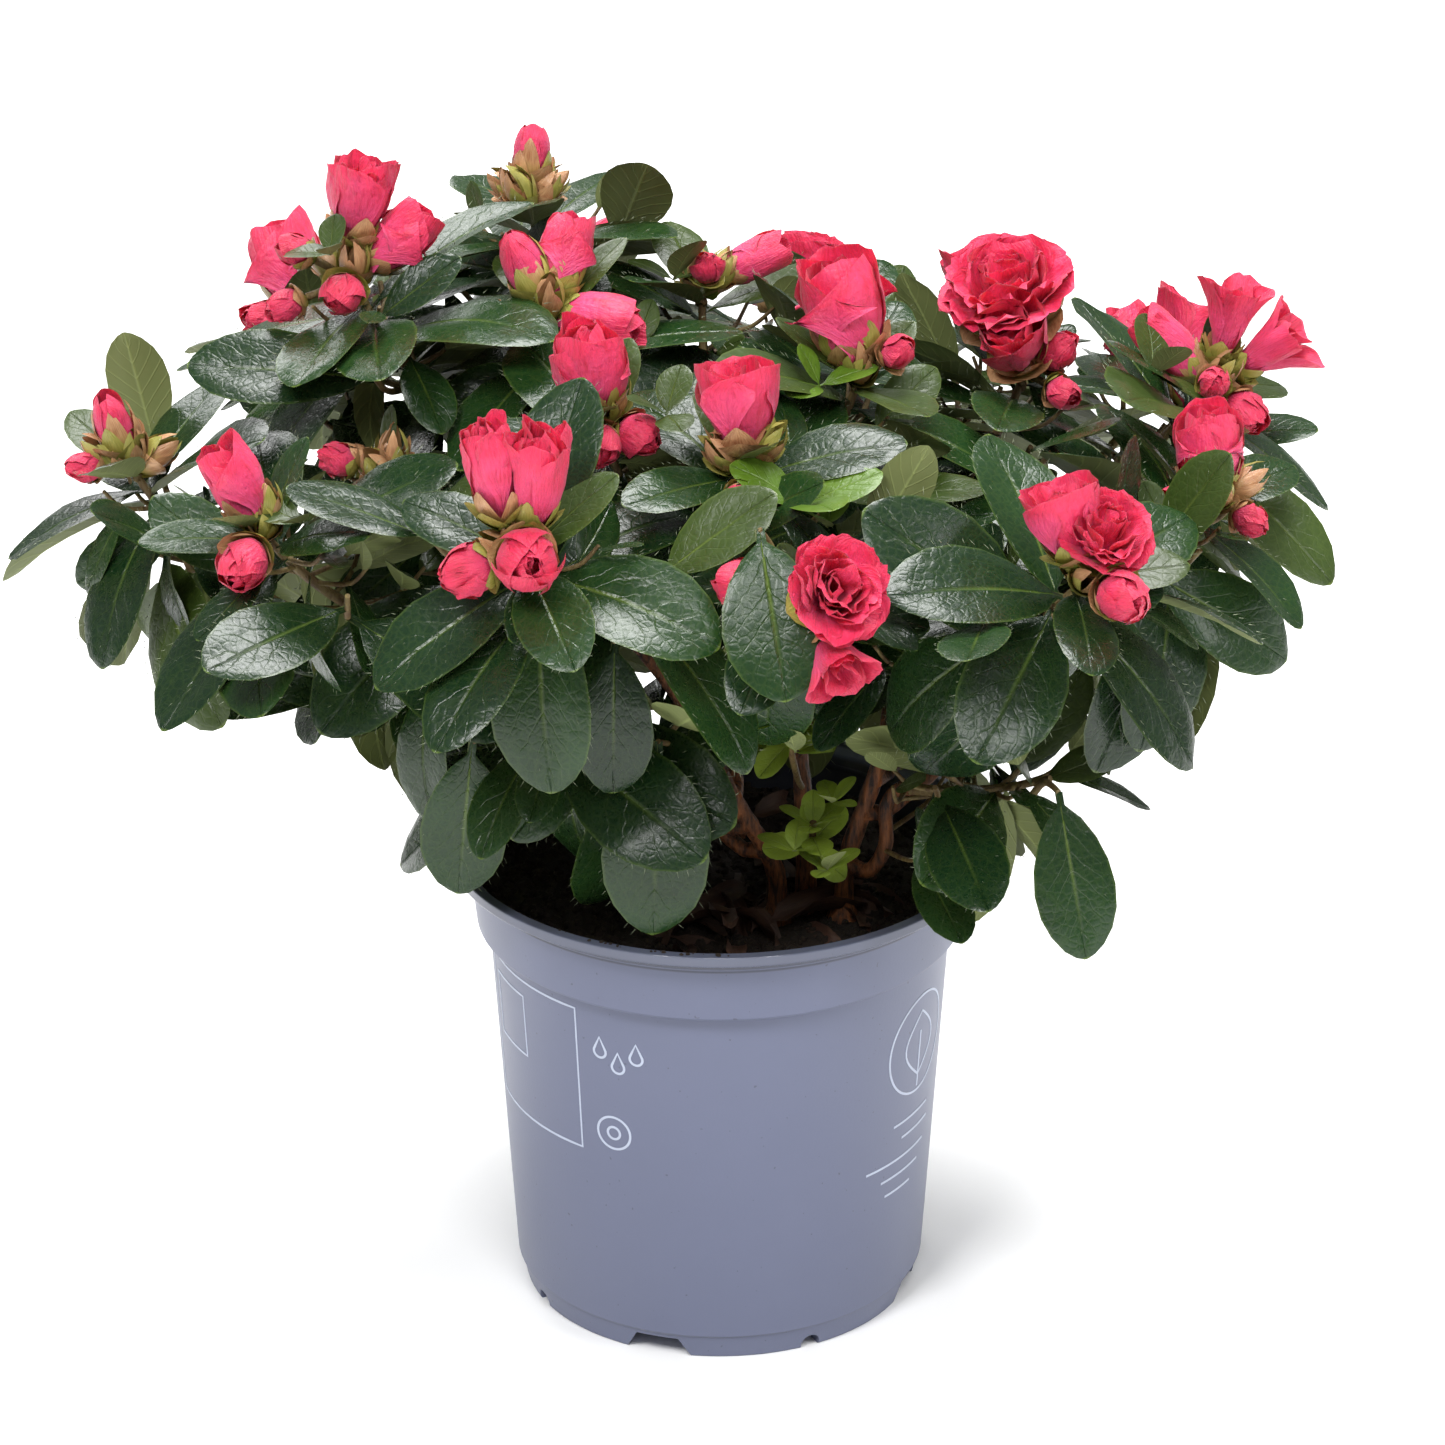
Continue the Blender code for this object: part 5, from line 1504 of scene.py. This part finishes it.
def make_peat(finish):
    """The lumpy top of the peat, down to just inside the pot."""
    rings, spokes = 40, 120
    points = [(0, 0, PEAT_TOP)]
    chance = random.Random(SEED)
    turns = [step * math.tau / spokes for step in range(spokes)]
    pairs = [(step, (step + 1) % spokes) for step in range(spokes)]
    for number in range(1, rings + 1):
        share = number / rings
        for angle in turns:
            lump = chance.uniform(-0.7, 0.7) * MM
            swell = math.sin(angle * 3 + share * 5) * 0.8 * MM + math.sin(angle * 7 + 2) * 0.5 * MM
            drop = 1.5 * MM * max(0, share - 0.7) / 0.3
            z = PEAT_TOP - drop + (lump + swell) * min(1, share * 2) - 0.8 * MM
            points.append(turned(PEAT_EDGE * share, angle, z))
    faces = [(0, 1 + i, 1 + j) for i, j in pairs]
    for row in range(1, 1 + (rings - 1) * spokes, spokes):
        faces += [(row + i, row + i + spokes, row + j + spokes, row + j) for i, j in pairs]
    last, base = 1 + (rings - 1) * spokes, len(points)
    points += [turned(PEAT_EDGE, angle, BODY_TOP_Z + 4 * MM) for angle in turns]
    faces += [(last + i, base + i, base + j, last + j) for i, j in pairs]
    faces.append(tuple(base + step for step in reversed(range(spokes))))
    peat = linked("peat_top", new_mesh("peat_top", points, faces), finish)
    peat.data.shade_smooth()
    return peat


def crumb_form():
    """A rough lump of a few faces."""
    chance = random.Random(SEED)
    hull = bmesh.new()
    for z, radius, count in ((-1, 0.3, 3), (-0.3, 1, 5), (0.4, 0.9, 5), (1, 0.35, 3)):
        for i in range(count):
            angle = (i + chance.random() * 0.4) * math.tau / count
            hull.verts.new(mm(turned(radius * chance.uniform(0.7, 1.15), angle, z * 0.8)))
    bmesh.ops.convex_hull(hull, input=hull.verts)
    mesh = bpy.data.meshes.new("crumb")
    hull.to_mesh(mesh)
    hull.free()
    return bpy.data.objects.new("crumb", mesh)


def cone_radius(z):
    """The pot's outer radius on its body, at this height."""
    return blend(BODY_FOOT_RADIUS, BODY_TOP_RADIUS, (z - FOOT_HEIGHT) / (BODY_TOP_Z - FOOT_HEIGHT))


def printed_lines(name, lines, width, finish):
    """Thin raised lines that follow the pot's body: each a list of (degrees, height)."""
    points, faces = [], []
    for line in lines:
        closed = line[0] == line[-1]
        flat = [Vector((math.radians(turn) * cone_radius(z * MM), z * MM)) for turn, z in line]
        last = len(flat) - 1
        rings = []
        for i, point in enumerate(flat):
            before = flat[last - 1 if closed and i == 0 else max(i - 1, 0)]
            after = flat[1 if closed and i == last else min(i + 1, last)]
            ahead = ((after - point).normalized() + (point - before).normalized()).normalized()
            square = Vector((-ahead.y, ahead.x)) * width / 2
            section = []
            for offset, lift in ((square, -0.2), (-square, -0.2), (-square, 0.07), (square, 0.07)):
                x, z = point + offset
                turn = x / cone_radius(point.y)
                radius = cone_radius(z) + lift * MM
                section.append(Vector((radius * math.sin(turn), -radius * math.cos(turn), z)))
            rings.append(section)
        made, skins = skin(rings)
        faces += [tuple(len(points) + index for index in reversed(face)) for face in skins]
        points += made
    return linked(name, new_mesh(name, points, faces), finish)


def round_line(turn, z, radius, steps=40, first=0.0, sweep=360.0):
    """An arc on the pot's body, radius in millimetres."""
    line = []
    for step in range(steps + 1):
        angle = math.radians(first + sweep * step / steps)
        across = math.degrees(radius * math.cos(angle) * MM / cone_radius(z * MM))
        line.append((turn + across, z + radius * math.sin(angle)))
    if sweep == 360:
        line[-1] = line[0]
    return line


def drop_line(turn, z, size):
    """A falling drop."""
    low = round_line(turn, z, size, 14, 150, 240)
    return low + [(turn, z + size * 2.4), low[0]]


def box_line(left, right, low, high):
    """A long box round the pot's body."""
    line = [(blend(left, right, i / 10), high) for i in range(11)]
    line += [(blend(right, left, i / 10), low) for i in range(11)]
    return line + line[:1]


def care_marks():
    """A blank label frame, drops, a ring, a leaf in a ring and plain bars."""
    lines = [box_line(-78, -38, 50, 85), box_line(-74, -58, 66, 81)]
    lines += [drop_line(-31 + i * 5, 76 - i % 2 * 3, 1.5) for i in range(3)]
    lines += [round_line(-28, 56, 4), round_line(-28, 56, 1.5), round_line(62, 68, 12, 60)]
    bulge = [math.sin(math.pi * step / 12) for step in range(13)]
    leaf = [(62 - 7 * wide, 60 + 16 * step / 12) for step, wide in enumerate(bulge)]
    leaf += [(62 + 7 * wide, 76 - 16 * step / 12) for step, wide in enumerate(bulge) if step]
    leaf[-1] = leaf[0]
    lines += [leaf, [(62, 57), (62, 66), (62, 71)]]
    return lines + [[(left + i, z) for i in range(0, span, 3)] for left, z, span in BARS]


def litter_blades(chance):
    """Dry brown leaves that lie crumpled round the feet of the stems."""
    items = []
    for i in range(LITTER):
        angle = math.radians(chance.uniform(*LITTER_FRONT) if i % 4 else chance.uniform(0, 360))
        reach = (chance.triangular(*LITTER_REACH) if i % 4 else chance.uniform(8, 46)) * MM
        root = Vector(turned(reach, angle, PEAT_TOP - 1 * MM))
        root.z += chance.uniform(0, 4) * MM
        turn = chance.uniform(0, math.tau)
        ahead = Vector(turned(1, turn, chance.uniform(0.05, 0.8))).normalized()
        length = chance.uniform(*LITTER_LENGTH) * MM
        if (root + ahead * length).xy.length > LITTER_EDGE * MM:
            ahead = Vector((-ahead.x, -ahead.y, ahead.z))
        side = Matrix.Rotation(chance.uniform(-0.9, 0.9), 3, ahead) @ ahead.cross(UP).normalized()
        values = [length] + [chance.uniform(*limits) for limits in LITTER_RANGES]
        items.append(blade((root, ahead, side, side.cross(ahead)), values, chance))
    return items


def lip_strip(first, last, inner, outer):
    """A flat strip on the lip between two turns in degrees, for crumbs."""
    steps = 20
    turns = [math.radians(blend(first, last, step / steps)) for step in range(steps + 1)]
    points = [turned(radius, angle, POT_HEIGHT) for angle in turns for radius in (inner, outer)]
    faces = [(2 * step, 2 * step + 1, 2 * step + 3, 2 * step + 2) for step in range(steps)]
    return new_mesh("lip_strip", points, faces)


def dress(obj, slot, *nodes):
    """Puts a finished piece on the plant's one body, in place of the CAD nodes it stands for."""
    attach(obj, "root")
    if nodes:
        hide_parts(*nodes)


def aimed(name, data, place, aim):
    """A lamp or camera at a place, which looks at another."""
    obj = linked(name, data)
    obj.location = place
    obj.rotation_euler = (Vector(aim) - Vector(place)).to_track_quat("-Z", "Y").to_euler()
    return obj


def make_stage():
    """A pale floor, soft light from all round and the photograph's camera."""
    corners = [(x * FLOOR_REACH, y * FLOOR_REACH, 0) for x, y in ((-1, -1), (1, -1), (1, 1), (-1, 1))]
    floor_finish = Finish("floor", 0.9, Base_Color=(0.95, 0.95, 0.95, 1)).material
    linked("floor", new_mesh("floor", corners, [(0, 1, 2, 3)]), floor_finish)
    world = bpy.data.worlds.new("studio")
    world.use_nodes = True
    background = world.node_tree.nodes["Background"].inputs
    background["Color"].default_value = (1, 1, 1, 1)
    background["Strength"].default_value = SOFT_LIGHT
    scene = bpy.context.scene
    scene.world = world
    scene.view_settings.view_transform = "Standard"
    for name, place, width, height, power in LAMPS:
        lamp = bpy.data.lights.new(name, "AREA")
        lamp.shape = "RECTANGLE"
        lamp.size = width
        lamp.size_y = height
        lamp.energy = power
        aimed(name, lamp, place, LAMP_AIM)
    camera = bpy.data.cameras.new("camera")
    camera.lens = CAMERA_LENS
    camera.sensor_width = 36
    camera.clip_start = 0.01
    scene.camera = aimed("camera", camera, CAMERA_PLACE, CAMERA_AIM)


def young_leaves(groups, chance):
    """The young rosettes near the tips, each in its tint."""
    for name, shoots in YOUNG.items():
        # the sprigs take young, painted brighter as light for the crown's shadow; the bright sprays take
        # fresh, painted darker as shade against their top light
        if name in SPRIGS:
            tip, axis, tint = mm(SPRIGS[name][0]), UP, "young"
        else:
            tip, axis, _, _ = spray_frame(name)
            tint = "fresh" if name in BRIGHT else "olive"
        for offset, count, length, turn in shoots:
            for i in range(count):
                azimuth = math.radians(turn) + i * GOLDEN_ANGLE
                polar = blend(*YOUNG_ANGLE, i / count) + chance.uniform(-ANGLE_WANDER, ANGLE_WANDER)
                size = length * MM * chance.uniform(*YOUNG_SIZE_RANGE)
                leaf = make_leaf(tip + mm(offset), axis, math.radians(polar), azimuth, size, *YOUNG_SHAPE)
                groups[tint].append(leaf_blade(leaf, chance, YOUNG_WIDTH))


def hanging_leaves(groups, chance):
    """The broad hanging leaves, and the twigs that carry them."""
    twigs = []
    for start, root, tip, width in HANGING:
        start, root, tip = mm(start), mm(root), mm(tip)
        ahead = (tip - root).normalized()
        upper = squared(Vector((0, -0.9, 0.3)), ahead)
        directions = {"root": root, "ahead": ahead, "side": ahead.cross(upper), "upper": upper}
        leaf = SimpleNamespace(**directions, length=(tip - root).length, bend=0.3, fold=0.06)
        groups["mid"].append(leaf_blade(leaf, chance, width))
        twigs.append(([start, start.lerp(root, 0.5) + UP * 3 * MM, root], HANGING_TWIG_RADII))
    return twigs


def rule_leaves(plan, groups, chance):
    """A spray's or sprig's leaves by the rule, dealt out to the tints."""
    sprig = plan.name in SPRIGS
    for leaf in plan.leaves:
        # sprig leaves take young, painted brighter as light for the crown's shadow
        if sprig:
            tint = "young"
        elif leaf.age < OLIVE_AGE and chance.random() < OLIVE_CHANCE:
            tint = "olive"
        else:
            tint = chance.choices(tuple(TINT_SHARES), tuple(TINT_SHARES.values()))[0]
        width, share = (YOUNG_WIDTH, YOUNG_SHARE) if sprig else (None, 1)
        groups[tint].append(leaf_blade(leaf, chance, width, share))


def spray_blooms(plan, petals, scales, stalks, chance):
    """A spray's sheathed buds round its tip, then its flowers and buds."""
    tip, axis = along(plan.stem, 1)
    square = cross_frame(axis)
    seat = tip - axis * SHEATHED_BUD_FOOT * MM
    made = []
    for number in range(SHEATHED_BUDS if plan.blooms else 0):
        spoke = around(*square, number * GOLDEN_ANGLE + chance.uniform(0, 2))
        rise = axis * chance.uniform(*SHEATHED_BUD_RISE) * MM
        end = tip + rise + spoke * chance.uniform(*SHEATHED_BUD_SPREAD) * MM
        made.append((seat, "sheath", bloom("sheath", seat, end, SHEATHED_BUD_RADIUS, chance)))
    for number, (form, root, end, radius) in enumerate(plan.blooms):
        foot = root
        if (plan.name, number) in TURNED:
            form, foot, end, radius = TURNED[plan.name, number]
            middle = mm(SPRAYS[plan.name][0])
            foot, end, radius = middle + mm(foot), middle + mm(end), radius * MM
        made.append((root, form, bloom(form, foot, end, radius, chance)))
    for root, form, (more_petals, more_scales, stalk) in made:
        petals[{"double": "double", "open": "double", "bud": "bud"}.get(form, "closed")] += more_petals
        scales.extend(more_scales)
        stalks.append(([root] + stalk, STALK_RADII))


make_stage()
BLADES = blade_tree()
LIMBS = limb_tree()
STREWN = scatter_tree()

plans = grow()
chance = random.Random(SEED + 7)

halves = (-1, -0.5, 0, 0.5, 1)
leaf_stations = (0, 0.08, 0.17, 0.29, 0.43, 0.58, 0.72, 0.84, 0.93, 0.98, 1)
leaf_form = blade_form("leaf", leaf_stations, halves, leaf_half, leaf_relief, 0.011)
hairs = hair_form(chance)
petal_columns = [step / 6 for step in range(-6, 7)]
petal_stations = (0, 0.14, 0.28, 0.41, 0.53, 0.64, 0.74, 0.83, 0.92, 1)
petal_form = blade_form("petal", petal_stations, petal_columns, petal_half, None, 0.012, 0.08)
scale_stations = (0, 0.18, 0.36, 0.54, 0.72, 0.88, 1)
scale_form = blade_form("scale", scale_stations, halves, scale_half, None, 0.02)

under = under_finish("leaf_under", (0.165, 0.195, 0.065))
groups = {tint: [] for tint in TINTS}
petals = {"double": [], "closed": [], "bud": []}
scales, stalks = [], []
young_leaves(groups, chance)
hanging_twigs = hanging_leaves(groups, chance)
for plan in plans:
    rule_leaves(plan, groups, chance)
    spray_blooms(plan, petals, scales, stalks, chance)

for tint, (colour, rib, gloss) in TINTS.items():
    look = leaf_finish("leaf_" + tint, colour, rib, gloss)
    leaves = blades("leaves_" + tint, leaf_form, groups[tint], look, under)
    dress(leaves, "foliage", *[plan.node for plan in plans if tint == "mid"])
bristle = plain_finish("bristle", (0.30, 0.34, 0.22), 0.6)
hairy = groups["dark"] + groups["mid"] + groups["olive"]
dress(blades("leaf_hairs", hairs, hairy, bristle), "foliage")

# the third colour of each is the painted shade in the petals' creases
pink = petal_finish("petal_pink", (0.80, 0.074, 0.230), (0.77, 0.026, 0.100), (0.46, 0.003, 0.022))
rose = petal_finish("petal_rose", (0.74, 0.050, 0.150), (0.72, 0.020, 0.080), (0.32, 0.002, 0.014))
for kind, items in petals.items():
    dress(blades("petals_" + kind, petal_form, items, rose if kind == "bud" else pink, crease=5.0), "petals")
brown = papery_finish("papery_scale", (0.22, 0.060, 0.018), (0.80, 0.50, 0.26), 8.0, (0.26, 0.24, 0.04), 0.28)
lime = papery_finish("green_scale", (0.18, 0.19, 0.020), (0.54, 0.46, 0.14), 6.0, (0.13, 0.20, 0.018), 0.32)
chance.shuffle(scales)
half = len(scales) * 3 // 5
dress(blades("scales_papery", scale_form, scales[:half], brown), "foliage")
dress(blades("scales_green", scale_form, scales[half:], lime), "foliage")

bark = bark_finish("bark", (0.020, 0.007, 0.003), (0.30, 0.100, 0.028), 800.0)
green_bark = bark_finish("twig_bark", (0.10, 0.055, 0.02), (0.20, 0.15, 0.05), 500.0)
twigs = [*twig_chains(plans), *hanging_twigs, *stalks]
for name, slot, chains, finish, sides, relief, nodes in (
    ("stems", "bark", stem_chains(), bark, 14, 1.3 * MM, ["stem_" + name for name in STEMS]),
    ("boughs", "bark", bough_chains(), bark, 10, 0.5 * MM, ["bough_" + name for name in SPRAYS]),
    ("twigs", "foliage", twigs, green_bark, 7, 0.2 * MM, []),
):
    dress(grown(name, LIMBS, chain_mesh(chains), finish=finish, sides=sides, relief=relief), slot, *nodes)

dress(make_pot(plastic_finish()), "pot_plastic", "pot")
print_finish = plain_finish("pot_print", (0.50, 0.55, 0.68), 0.5)
dress(printed_lines("pot_marks", care_marks(), 0.55 * MM, print_finish), "pot_plastic")
soil = peat_finish("peat", (0.006, 0.004, 0.0025), (0.040, 0.022, 0.012))
peat = make_peat(soil)
crumb = crumb_form()
strip = lip_strip(*LIP_CRUMBS)
dress(peat, "peat", "peat")
for name, mesh, density, least, most in (
    ("peat_crumbs", peat.data.copy(), 2.4e5, 0.3, 1.3),
    ("lip_crumbs", strip, 4.5e5, 0.12, 0.7),
):
    dress(grown(name, STREWN, mesh, form=crumb, finish=soil, density=density, least=least, most=most), "peat")
dry = papery_finish("dry_leaf", (0.014, 0.006, 0.004), (0.100, 0.042, 0.022), 14.0, gloss=0.62)
dress(blades("litter", leaf_form, litter_blades(chance), dry), "peat")

for helper in (leaf_form, hairs, petal_form, scale_form, crumb):
    bpy.data.objects.remove(helper)
